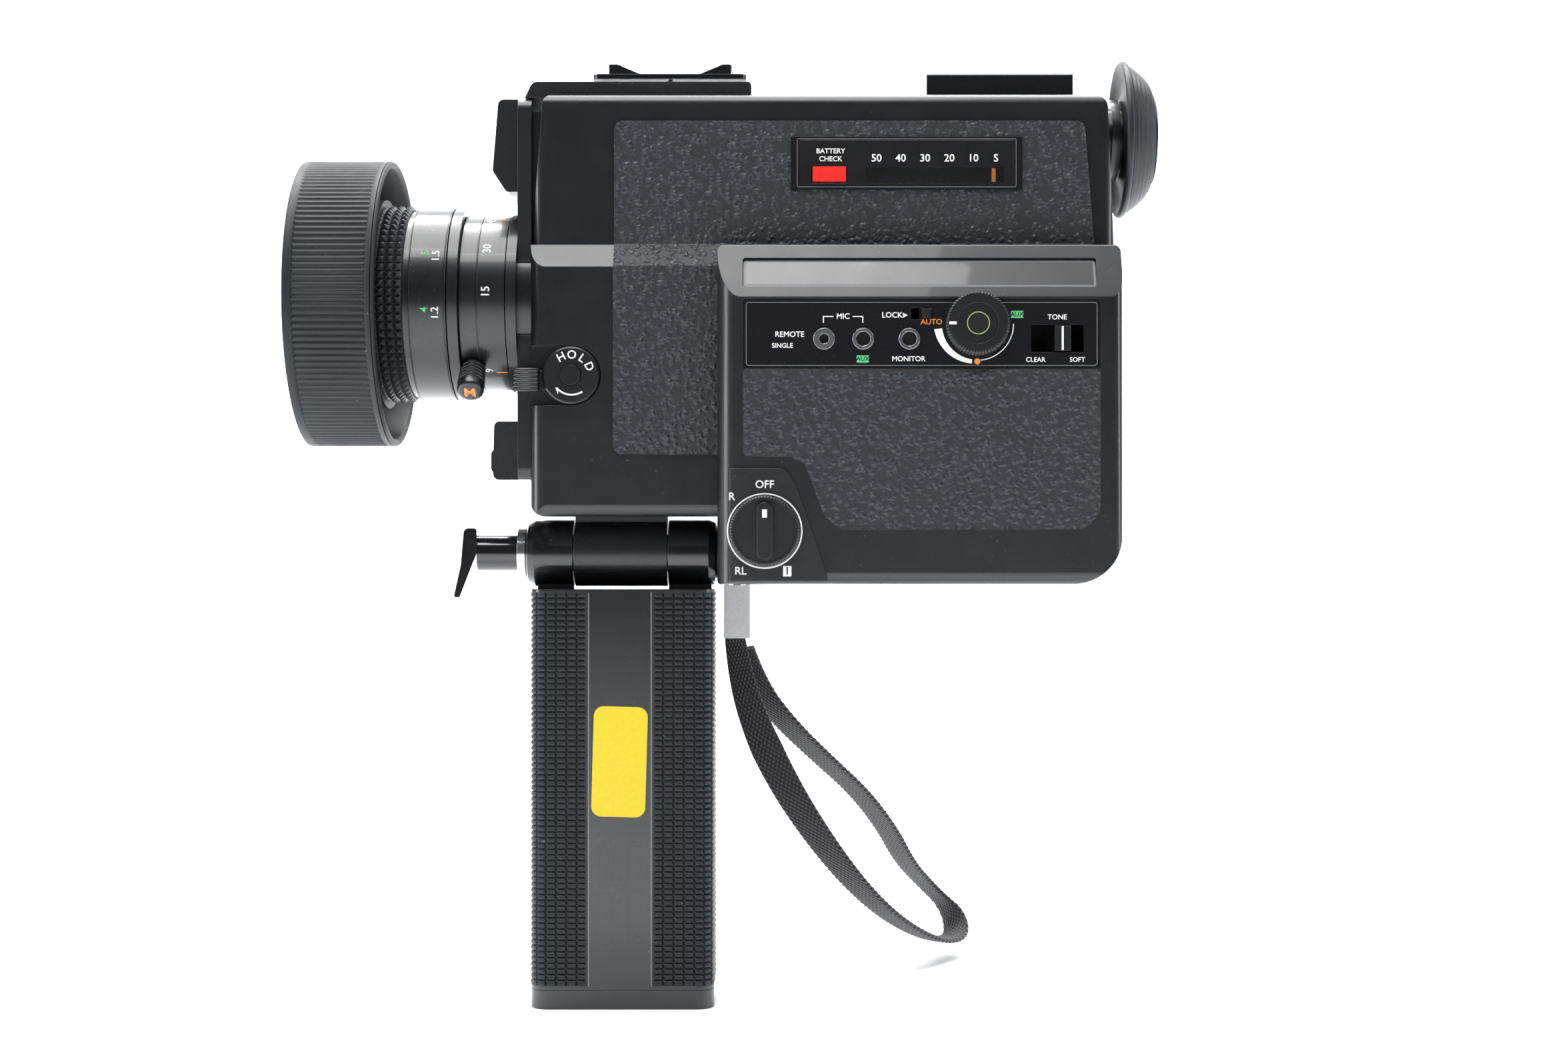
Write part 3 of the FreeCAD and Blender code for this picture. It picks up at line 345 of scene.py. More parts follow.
def moulded_black(name, shade=0.006, roughness=0.30, grain=2600.0, depth=0.000012, edge=0.0003, coat=0.25):
    """Black moulded or painted casing: fine grain, cloudy sheen, a few specks, rounded edges that catch the
    light.
    """
    finish = Finish(name, (shade, shade * 1.1, shade * 1.3), roughness, coat=coat)
    finish.rounded_edges(edge)
    cloud = finish.noise(35.0, 5.0, 0.6)
    base = finish.mix(cloud, (shade * 0.7, shade * 0.8, shade), (shade * 1.4, shade * 1.6, shade * 1.9))
    finish.set_colour(finish.dust(base))
    finish.vary_roughness(finish.noise(120.0, 4.0), roughness - 0.07, roughness + 0.1)
    finish.bump(finish.noise(grain, 3.0), depth)
    return finish.done()


def leatherette():
    """Pebbled slate leatherette: uneven rounded cells of one to two millimetres with creases between, the
    colour darker in the creases and lighter on the cell tops as painted shade and highlight.
    """
    finish = Finish("pebbled_leatherette", (0.020, 0.023, 0.030), 0.42)
    wander = finish.node("TexNoise", Vector=finish.place, Scale=420.0, Detail=2.0).outputs["Color"]
    warped = finish.mix(0.0022, finish.place, wander, "ADD")
    pebbles = finish.ramp(finish.cells(620.0, "F1", warped), [(0.10, 1.0), (0.62, 0.0)])
    pebbles = finish.node("RGBToBW", Color=pebbles).outputs[0]
    fine = finish.noise(3000.0, 3.0)
    finish.vary_roughness(pebbles, 0.58, 0.34)
    # Painted shade and highlight: the colour is darker in the creases between the cells and lighter on their
    # raised tops.
    tone = finish.mix(pebbles, (0.010, 0.013, 0.016), (0.019, 0.025, 0.031))
    finish.set_colour(finish.dust(tone, 0.4))
    finish.bump(pebbles, 0.0003, 1.0)
    finish.bump(fine, 0.00002, 0.6)
    return finish.done()


def rubber(name, shade=0.02, roughness=0.5):
    """Matte rubber, grey where it has bloomed, with a fine dusty tooth."""
    finish = Finish(name, (shade, shade, shade * 1.05), roughness, specular=0.35)
    bloom = finish.noise(60.0, 5.0, 0.65)
    base = finish.mix(bloom, (shade * 0.7, shade * 0.85, shade), (shade * 1.3, shade * 1.65, shade * 1.95))
    finish.set_colour(finish.dust(base, 0.6))
    finish.vary_roughness(finish.noise(300.0), roughness - 0.06, roughness + 0.12)
    finish.bump(finish.noise(4200.0, 2.0), 0.00002)
    return finish.done()


def metal(name, colour, roughness, scratch=900.0, stretch=(1, 1, 1)):
    """Bare or plated metal: its brightness broken by fine scratches drawn out one way."""
    finish = Finish(name, colour, roughness, metallic=1.0)
    finish.rounded_edges(0.00015)
    drawn = finish.node("Mapping", Vector=finish.place)
    drawn.inputs["Scale"].default_value = stretch
    marks = finish.noise(scratch, 5.0, 0.7, drawn.outputs[0])
    finish.vary_roughness(marks, roughness - 0.06, roughness + 0.12)
    finish.vary_colour(marks, tuple(channel * 0.72 for channel in colour))
    finish.bump(marks, 0.000006, 0.7)
    return finish.done()


def gloss_black(name="gloss_black"):
    """Polished black acrylic with faint hairlines."""
    finish = Finish(name, (0.006, 0.006, 0.007), 0.08, coat=0.6)
    finish.rounded_edges(0.00015)
    hairs = finish.noise(700.0, 6.0, 0.75)
    finish.set_colour(finish.dust((0.006, 0.006, 0.0075), 0.4))
    finish.vary_roughness(hairs, 0.05, 0.22)
    finish.bump(finish.noise(45.0, 2.0), 0.00003, 0.25)
    return finish.done()


def coated_glass(name, tint, roughness=0.02, coating=(0.55, 0.4, 0.9), coat=1.0):
    """Glass or clear acrylic; a lens has a coloured anti-reflection coating that shows at a slant."""
    finish = Finish(name, tint, roughness)
    finish.shader.inputs["Transmission Weight"].default_value = 1.0
    finish.shader.inputs["IOR"].default_value = 1.6
    finish.shader.inputs["Coat Weight"].default_value = coat
    finish.shader.inputs["Coat Tint"].default_value = (*coating, 1)
    finish.vary_roughness(finish.noise(90.0), roughness, roughness + 0.05)
    return finish.done()


def paint(name, colour, roughness=0.5):
    """Printed or filled marking, slightly uneven where it was rubbed."""
    finish = Finish(name, colour, roughness)
    worn = finish.noise(900.0, 4.0)
    finish.vary_colour(worn, tuple(channel * 0.85 for channel in colour))
    return finish.done()


# ---------------------------------------------------------------- markings
TEXT_DEPTH = 0.05
CAPITAL_SHARE = 0.70


def lettering(name, words, height, material):
    """Flat letters as a mesh in the X, Y plane, centred, with capitals of the height in millimetres."""
    data = bpy.data.curves.new(name, "FONT")
    data.body = words
    data.size = height * MM / CAPITAL_SHARE
    data.offset = 0.014 * height * MM
    data.align_x = "CENTER"
    data.align_y = "CENTER"
    data.resolution_u = 3
    text = bpy.data.objects.new(name, data)
    show(text)
    bpy.context.view_layer.update()
    mesh = bpy.data.meshes.new_from_object(text)
    bpy.data.objects.remove(text)
    piece = bpy.data.objects.new(name, mesh)
    show(piece)
    mesh.materials.clear()
    mesh.materials.append(material)
    return piece


def move_points(piece, change):
    """Applies a function of the whole N by 3 array of points to a mesh."""
    points = change(read(piece.data.vertices, "co"))
    piece.data.vertices.foreach_set("co", points.reshape(-1))
    piece.data.update()
    return piece


def side_label(name, words, x, z, face, height, material, body="body", turn=0.0):
    """Letters printed on a face of the control side: the text plane is stood up to look along -Y."""
    piece = lettering(name, words, height, material)
    c, s = math.cos(turn), math.sin(turn)

    def stand(points):
        u = points[:, 0] * c - points[:, 1] * s
        v = points[:, 0] * s + points[:, 1] * c
        return points_at(u + x * MM, (face - TEXT_DEPTH) * MM, v + z * MM)

    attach(move_points(piece, stand), body)
    return piece


def ring_label(name, words, x, angle, radius, height, material, body):
    """Letters wrapped on a ring of the lens: along the text is round the ring, up is forward."""
    piece = lettering(name, words, height, material)
    reach = (radius + TEXT_DEPTH) * MM

    def wrap(points):
        turn = math.radians(angle) + points[:, 0] / reach
        return points_at(x * MM - points[:, 1], -reach * np.cos(turn), LENS_Z * MM + reach * np.sin(turn))

    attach(move_points(piece, wrap), body)
    return piece


def ring_line(name, x0, x1, angle, radius, width, material, body):
    """A painted line along the lens on a ring: a strip of the cylinder, width measured round it."""
    reach = radius + TEXT_DEPTH
    turn = math.radians(angle) + np.linspace(-0.5, 0.5, 4) * width / reach
    grid = points_at(np.array([[x0], [x1]]), -reach * np.cos(turn), LENS_Z + reach * np.sin(turn)) * MM
    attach(surface(name, grid, material, flip=True), body)


def side_patch(name, outline, face, material, body="body"):
    """A flat printed patch on the control side through X, Z points given round its edge."""
    outline = np.asarray(outline, float)
    points = points_at(outline[:, 0], face - TEXT_DEPTH, outline[:, 1]) * MM
    piece = flat_face(name, points, material)
    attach(piece, body)


def plain_outline(x0, x1, z0, z1):
    return [(x0, z0), (x1, z0), (x1, z1), (x0, z1)]


def arc(x, z, radius, turn):
    return np.stack([x + radius * np.cos(turn), z + radius * np.sin(turn)], axis=-1)


def disc_outline(x, z, radius, count=32):
    return arc(x, z, radius, full_turn(count))


def band_outline(x, z, inner, outer, start, end, count=40):
    """A piece of ring between two angles in degrees, measured from +X towards +Z; each radius may be
    a pair for a band that tapers from its start to its end."""
    turn = np.radians(np.linspace(start, end, count))
    outer = np.linspace(*(outer if isinstance(outer, tuple) else (outer, outer)), count)
    inner = np.linspace(*(inner if isinstance(inner, tuple) else (inner, inner)), count)
    return np.concatenate([arc(x, z, outer, turn), arc(x, z, inner, turn)[::-1]])


def rounded_outline(x0, x1, z0, z1, radius, count=8):
    """A rectangle with quarter-circle corners."""
    turn = np.radians(np.linspace(0, 90, count))
    corners = []
    for cx, cz, start in ((x1 - radius, z1 - radius, 0), (x0 + radius, z1 - radius, 90),
                          (x0 + radius, z0 + radius, 180), (x1 - radius, z0 + radius, 270)):
        corners.append(arc(cx, cz, radius, turn + math.radians(start)))
    return np.concatenate(corners)


def frame_line(name, x0, x1, z0, z1, radius, width, face, material, body="body"):
    """A thin printed line round a rounded rectangle."""
    outer = rounded_outline(x0, x1, z0, z1, radius)
    inner = rounded_outline(x0 + width, x1 - width, z0 + width, z1 - width, max(radius - width, 0.05))
    count = len(outer)
    points = np.concatenate([outer, inner])
    points = points_at(points[:, 0], face - TEXT_DEPTH, points[:, 1]) * MM
    index = np.arange(count)
    following = (index + 1) % count
    faces = np.stack([index, index + count, following + count, following], axis=-1)
    piece = link(name, points, faces, material, smooth=False)
    face_along_y(piece)
    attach(piece, body)


# ---------------------------------------------------------------- lens
def build_hood(material):
    """Ribbed rubber hood: a closed profile turned about the lens, whose outer wall between two plain
    bands rises and falls with a raised cosine of the angle, 140 ribs to the turn."""
    low, rear = span("lens_hood", 0)
    outer = span("lens_hood", 2)[1] - LENS_Z
    ribs = 140
    count = ribs * 6
    rib = 0.5 + 0.5 * np.cos(ribs * full_turn(count))
    wall = [
        (low + 0.9, outer - 1.9, 0), (low + 0.2, outer - 1.2, 0), (low, outer - 0.6, 0),
        (low + 0.25, outer - 0.1, 0), (low + 0.9, outer, 0), (low + 2.2, outer, 0),
        (low + 2.5, outer - 0.35, 0), (low + 2.8, outer - 0.05, 1),
        (low + 8.0, outer - 0.05, 1), (low + 14.0, outer - 0.05, 1), (rear - 2.7, outer - 0.05, 1),
        (rear - 2.4, outer - 0.35, 0), (rear - 2.1, outer - 0.05, 0), (rear - 1.0, outer, 0),
        (rear - 0.9, outer - 0.25, 0), (rear - 0.75, outer, 0), (rear - 0.3, outer - 0.2, 0),
        (rear, outer - 0.7, 0), (rear - 0.2, outer - 1.4, 0), (rear - 1.0, outer - 1.9, 0),
        (low + 6.0, outer - 2.0, 0), (low + 3.6, outer - 2.6, 0), (-121.2, 27.6, 0), (-120.6, 27.35, 0),
        (-116.2, 27.35, 0), (-116.1, 24.5, 0), (-118.0, 24.4, 0), (-118.0, 20.5, 0), (-119.5, 20.5, 0),
        (-119.5, 23.5, 0), (-120.2, 23.7, 0),
    ]
    cone = [(-120.2 + (low + 1.4 + 120.2) * t, 23.7 + (outer - 2.4 - 23.7) * t, 0)
            for t in (0.25, 0.5, 0.75, 1.0)]
    profile = np.array(wall + cone)
    radii = profile[:, 1:2] - profile[:, 2:3] * 0.42 * (1 - rib)[None, :]
    piece = around_x("hood_rubber", profile[:, 0], radii, material, count, z=LENS_Z)
    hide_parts("lens_hood")
    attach(smoothed(piece, 50), "focus_group")
    return piece


def build_focus_grip(material):
    """Pyramid-knurled grip: radius = foot + rise x the smaller of two triangle waves, one round the
    ring and one along it, so that square pyramids stand between crossing grooves."""
    low, high = span("focus_grip", 0)
    outer = span("focus_grip", 2)[1] - LENS_Z
    columns = 72
    count = columns * 10
    rows = 50
    station = np.linspace(low + 0.4, high - 0.2, rows)
    pitch = 2 * math.pi * outer / columns
    u = (full_turn(count)[None, :] * outer / pitch) % 1.0
    v = ((station[:, None] - low) / pitch) % 1.0
    rise = np.minimum(1 - np.abs(2 * u - 1), 1 - np.abs(2 * v - 1))
    radii = outer - 1.05 + np.minimum(rise * 1.25, 1.0)
    end = np.full((1, count), outer - 1.4)
    radii = np.concatenate([end, radii, end])
    stations = np.concatenate([station[:1], station, station[-1:]])
    piece = around_x("focus_grip_rubber", stations, radii, material, count, z=LENS_Z, smooth=False)
    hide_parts("focus_grip")
    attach(piece, "focus_group")
    return piece


def build_zoom_lever(material, orange):
    """Ribbed zoom lever: a round stem and knob turned about a line square to the zoom ring at its
    slant, the radius ringed by rounded ribs along the reach and closed by a shallow dome."""
    slant = math.radians(48.0)
    outward = np.array([0.0, -math.cos(slant), -math.sin(slant)])
    aside = np.array([0.0, -math.sin(slant), math.cos(slant)])
    x_mid = middle("zoom_lever", 0)
    foot, tip = 22.9, 32.9
    ribbed = np.linspace(foot + 0.8, tip - 2.6, 64)
    rib = np.abs(np.sin((ribbed - foot - 0.8) / 1.15 * math.pi)) ** 0.7
    grow = 2.75 + 0.5 * (ribbed - foot) / (tip - foot)
    dome = np.linspace(0, math.pi / 2, 12)
    reach = np.concatenate([[foot, foot + 0.7], ribbed, tip - 1.1 + 1.1 * np.sin(dome)])
    radius = np.concatenate([[2.5, 2.5], grow - 0.25 + 0.67 * rib, 2.0 + 1.45 * np.cos(dome)])
    turn = full_turn(96)
    grid = (radius[:, None, None] * (np.cos(turn)[None, :, None] * np.array([1.0, 0, 0])
                                     + np.sin(turn)[None, :, None] * aside)
            + reach[:, None, None] * outward)
    grid[:, :, 0] += x_mid
    grid[:, :, 2] += LENS_Z
    points = (grid * MM).reshape(-1, 3)
    faces = grid_faces(len(reach), len(turn), wrap_columns=True).tolist()
    last = (len(reach) - 1) * len(turn)
    faces.append(list(range(last, last + len(turn))))
    faces.append(list(range(len(turn)))[::-1])
    piece = link("zoom_lever_knob", points, faces, material)
    outward_fix(piece)
    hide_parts("zoom_lever")
    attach(smoothed(piece, 50), "zoom_group")
    letter = lettering("zoom_lever_mark", "M", 2.9, orange)

    def place(points):
        base = np.array([x_mid, 0, LENS_Z]) * MM + outward * (tip + 0.06) * MM
        return base + points[:, 0:1] * np.array([1.0, 0, 0]) + points[:, 1:2] * aside

    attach(move_points(letter, place), "zoom_group")


def outward_fix(piece):
    """Turns a closed mesh's faces outward by its signed volume."""
    mesh = piece.data
    mesh.calc_loop_triangles()
    points = read(mesh.vertices, "co")
    a, b, c = (points[corner] for corner in read(mesh.loop_triangles, "vertices", int).T)
    if np.einsum("ij,ij->i", a, np.cross(b, c)).sum() < 0:
        mesh.flip_normals()


# ---------------------------------------------------------------- grip
def grip_loop(count):
    """Points and outward normals round the grip's rounded rectangle, evenly spaced by length, starting
    at the control side's front strip edge and going round the front, far and rear sides."""
    x0, x1 = span("grip_rubber", 0)
    y0, y1 = span("grip_rubber", 1)
    r = 5.0
    pieces = []
    dense = 200
    line = np.linspace(0, 1, dense)
    arc = np.linspace(0, math.pi / 2, dense)
    strip_front, strip_rear = -63.0, -46.0

    def straight(a, b, normal):
        a, b = np.array(a), np.array(b)
        pieces.append((a + (b - a) * line[:, None], np.repeat(np.array([normal]), dense, axis=0)))

    def corner(cx, cy, start):
        turn = start - arc
        normal = np.stack([np.cos(turn), np.sin(turn)], axis=-1)
        pieces.append((np.array([cx, cy]) + normal * r, normal))

    straight((strip_front, y0), (x0 + r, y0), (0.0, -1.0))
    corner(x0 + r, y0 + r, -math.pi / 2)
    straight((x0, y0 + r), (x0, y1 - r), (-1.0, 0.0))
    corner(x0 + r, y1 - r, math.pi)
    straight((x0 + r, y1), (x1 - r, y1), (0.0, 1.0))
    corner(x1 - r, y1 - r, math.pi / 2)
    straight((x1, y1 - r), (x1, y0 + r), (1.0, 0.0))
    corner(x1 - r, y0 + r, 0.0)
    straight((x1 - r, y0), (strip_rear, y0), (0.0, -1.0))
    points = np.concatenate([piece[0] for piece in pieces])
    normals = np.concatenate([piece[1] for piece in pieces])
    length = run_length(points)
    even = np.linspace(0, length[-1], count)
    return resample(even, length, points), unit(resample(even, length, normals)), even


def build_grip_rubber(material):
    """Ribbed rubber wrap: rows 1.47 mm apart cut into bricks 2.84 mm long that line up from row to row;
    the height is the product of a row profile and a brick profile, zero in the grooves."""
    z0, z1 = span("grip_rubber", 2)
    ribs, bricks = 69, 44
    rows = ribs * 4 + 1
    columns = bricks * 7 + 1
    points, normals, length = grip_loop(columns)
    height = np.linspace(z0, z1, rows)
    row_pitch, brick = (z1 - z0) / ribs, length[-1] / bricks
    row = (height - z0) / row_pitch
    v = np.abs((row % 1.0) - 0.5) * 2
    u = np.abs(((length[None, :] / brick) % 1.0) - 0.5) * 2
    row_rise = np.clip((1 - v) / 0.55, 0, 1)[:, None]
    brick_rise = np.clip((1 - u) / 0.22, 0, 1)
    depth = 0.45 * (1 - row_rise * brick_rise)
    edge = np.minimum(length, length[-1] - length)
    depth = np.where((edge < 0.5)[None, :], 0.05, depth)
    rim = np.minimum(height - z0, z1 - height)
    depth = np.where((rim < 0.35)[:, None], 0.05, depth)
    grid = points_at(points[:, 0] - normals[:, 0] * depth, points[:, 1] - normals[:, 1] * depth,
                     height[:, None])
    piece = surface("grip_rubber_wrap", grid * MM, material, smooth=False)
    if outward_sum(piece) < 0:
        piece.data.flip_normals()
    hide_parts("grip_rubber")
    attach(piece, "grip")


def outward_sum(piece):
    """Positive when a wrap's faces look away from its own middle line."""
    centre, normal = (read(piece.data.polygons, key)[:, :2] for key in ("center", "normal"))
    return np.einsum("ij,ij->", centre - centre.mean(axis=0), normal)


def build_grip_details(edge, label, faint):
    """Thin grey lines along the strip edges, painted highlight where the edges catch the light; the blank
    yellow label; and the embossed battery diagram on the smooth strip, drawn as flat lighter marks that are
    painted highlight in place of its relief.
    """
    z0, z1 = span("grip_rubber", 2)
    face = span("grip_shell", 1)[0]
    # Thin grey lines along both edges of the smooth strip: painted highlight where the edges catch the light.
    for number, x in enumerate((-62.6, -46.4)):
        side_patch(f"strip_edge_painted_highlight_{number}", plain_outline(x - 0.15, x + 0.15, z0, z1),
                   face - 0.02, edge, "grip")
    turn = math.radians(-1.6)
    sticker = rounded_outline(-7.0, 7.0, -14.3, 14.3, 2.6)
    turned = np.stack([sticker[:, 0] * math.cos(turn) - sticker[:, 1] * math.sin(turn) - 54.6,
                       sticker[:, 0] * math.sin(turn) + sticker[:, 1] * math.cos(turn) - 46.5], axis=-1)
    side_patch("blank_label", turned, face - 0.03, label, "grip")
    # The battery diagram: flat marks lighter than the strip, painted highlight in place of the embossed
    # relief.
    for column in range(3):
        x0 = -60.2 + column * 3.9
        for row in range(2):
            z_low = -94.0 + row * 15.0
            cell = f"{column}_{row}"
            frame_line("cell_mark_" + cell, x0, x0 + 3.4, z_low, z_low + 13.6, 0.5, 0.18, face, faint, "grip")
            sign = 1 if (column + row) % 2 else -1
            z_end = z_low + 6.8 + sign * 4.6
            bar = plain_outline(x0 + 0.9, x0 + 2.5, z_end - 0.12, z_end + 0.12)
            side_patch("cell_bar_" + cell, bar, face, faint, "grip")
            upright = plain_outline(x0 + 1.58, x0 + 1.82, z_end - 0.8, z_end + 0.8)
            side_patch("cell_upright_" + cell, upright, face - 0.01, faint, "grip")


# ---------------------------------------------------------------- knobs
def knurled_knob(name, x, z, y_back, y_front, radius, teeth, depth, material, inner, body, top=0.5):
    """A round knob on the control side: rings of points from the foot out over the rim to the inner
    edge, the rim's radius cut by V grooves, one minus the distance to the nearest groove."""
    turn = full_turn(teeth * 6)
    groove = np.abs(((turn * teeth / (2 * math.pi)) % 1.0) - 0.5) * 2
    cut = depth * np.clip(1.4 * groove - 0.4, 0, 1)
    rings = [(y_back, radius, 1), (y_front + top, radius, 1), (y_front + 0.15, radius - 0.2, 1),
             (y_front, radius - top, 0.4), (y_front, (radius + inner) / 2, 0), (y_front, inner, 0),
             (y_front + 0.6, inner, 0)]
    y, r, share = np.array(rings, float).T[:, :, None]
    r = r - share * cut
    grid = points_at(x + r * np.cos(turn), y, z + r * np.sin(turn))
    piece = surface(name, grid * MM, material, wrap_columns=True)
    faces = piece.data.polygons
    front = [f for f in faces if abs(f.normal.y) > 0.9 and abs(f.center.y / MM - y_front) < 0.05]
    if front and front[0].normal.y > 0:
        piece.data.flip_normals()
    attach(smoothed(piece, 30), body)
    return piece


def blank_plate(material, line):
    """A blank glossy plate lying in the recess of the sloped face above the jack panel."""
    slope = math.atan2(NAME_FACE[1][0] - NAME_FACE[0][0], NAME_FACE[1][1] - NAME_FACE[0][1])
    centre = (np.array(NAME_FACE[0]) + np.array(NAME_FACE[1])) / 2

    def slab(name, half_x, half_z, radius, lift, finish):
        outline = rounded_outline(-half_x, half_x, -half_z, half_z, radius)
        y = centre[0] + outline[:, 1] * math.sin(slope) - lift * math.cos(slope)
        z = centre[1] + outline[:, 1] * math.cos(slope) + lift * math.sin(slope)
        piece = flat_face(name, points_at(outline[:, 0] + NAME_X, y, z) * MM, finish)
        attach(piece, "body")

    slab("blank_name_plate", NAME_HALF[0], NAME_HALF[1], 0.6, -0.35, material)
    slab("blank_name_line", NAME_HALF[0] - 0.6, NAME_HALF[1] - 0.6, 0.3, -0.30, line)


def hand_controls(satin, white, pale_green, dark):
    """Knurled rims and marks over the switch dial, the level knob and the exposure lever."""
    low = span("level_knob", 1)[0]
    x, z = middle("level_knob", 0), middle("level_knob", 2)
    rim = knurled_knob("level_knob_rim", x, z, BOX_FACE - 0.15, low - 0.25, 8.0, 60, 0.35, satin, 5.0,
                       "level_knob")
    side_patch("level_knob_index", plain_outline(x - 7.2, x - 5.4, z - 0.35, z + 0.35),
               low - 0.27, white, "level_knob")
    side_patch("level_knob_well", disc_outline(x, z, 2.6), low - 0.30, dark, "level_knob")
    side_patch("level_knob_well_rim", band_outline(x, z, 2.6, 2.85, 0, 359.9, 60), low - 0.32,
               pale_green, "level_knob")
    x, z = middle("switch_dial", 0), middle("switch_dial", 2)
    face = SWITCH_PANEL_FACE
    rim = knurled_knob("switch_dial_rim", x, z, face - 1.05, face - 2.05, 8.78, 72, 0.3, satin, 7.6,
                       "switch_dial")
    ring = band_outline(x, z, 8.75, 9.4, 0, 359.9, 120)
    side_patch("switch_dial_ring", ring, face - 0.85, white, "switch_dial")
    front = span("switch_dial", 1)[0]
    side_patch("switch_pointer", plain_outline(x - 0.6, x + 0.6, z + 3.3, z + 5.3),
               front - 0.02, white, "switch_dial")
    x, z = middle("exposure_button", 0), middle("exposure_button", 2)
    face = LEFT_FACE - 0.6
    for number, letter in enumerate("HOLD"):
        turn = math.radians(118 - number * 31)
        side_label(f"exposure_letter_{number}", letter, x + 5.1 * math.cos(turn), z + 5.1 * math.sin(turn),
                   face - 0.05, 2.1, white, "exposure_lever", turn - math.pi / 2)
    side_patch("exposure_arc", band_outline(x, z, (4.6, 4.9), (5.0, 5.35), 222, 305),
               face - 0.05, white, "exposure_lever")
    side_patch("exposure_arrow", [(x - 3.9, z - 3.1), (x - 3.1, z - 3.3), (x - 3.2, z - 5.0)],
               face - 0.06, white, "exposure_lever")
    tab_ribs(span("exposure_lever", 0)[0], satin)


def tab_ribs(x0, material):
    """Horizontal ridges over the exposure tab: height along Z is a row of rounded ribs of 0.95 mm."""
    foot, top = 48.7, 54.6
    rows = np.linspace(foot, top, 100)
    rib = np.abs(np.sin((rows - foot) / 0.985 * math.pi)) ** 0.6
    x, y = np.array([(x0 - 0.15, -20.9), (x0 - 0.15, -25.6), (x0 + 0.25, -26.1), (x0 + 3.0, -26.35),
                     (x0 + 5.6, -26.1), (x0 + 6.1, -25.4), (x0 + 6.1, -24.2)]).T
    grid = points_at(x - 0.18 * rib[:, None] * (x < x0), y - 0.32 * rib[:, None], rows[:, None])
    piece = surface("exposure_tab_ridges", grid * MM, material)
    faces = [f for f in piece.data.polygons if abs(f.normal.y) > 0.7]
    if faces and sum(f.normal.y for f in faces) > 0:
        piece.data.flip_normals()
    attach(piece, "exposure_lever")


def boxed_label(name, words, x, z, face, height, box, letters):
    """Letters on a filled box."""
    half = 0.36 * height * len(words) + 0.35
    tall = height / 2 + 0.35
    side_patch(name + "_box", rounded_outline(x - half, x + half, z - tall, z + tall, 0.15), face, box)
    side_label(name, words, x, z, face - 0.05, height, letters)


def bracket(name, x0, x1, z_low, z_high, face, material, sides=(True, True)):
    """A thin printed bracket: a line along the top with legs down at its ends."""
    width = 0.22
    side_patch(name + "_top", plain_outline(x0, x1, z_high - width, z_high), face, material)
    for number, (wanted, x) in enumerate(zip(sides, (x0, x1 - width))):
        if wanted:
            side_patch(f"{name}_leg_{number}", plain_outline(x, x + width, z_low, z_high),
                       face - 0.01, material)


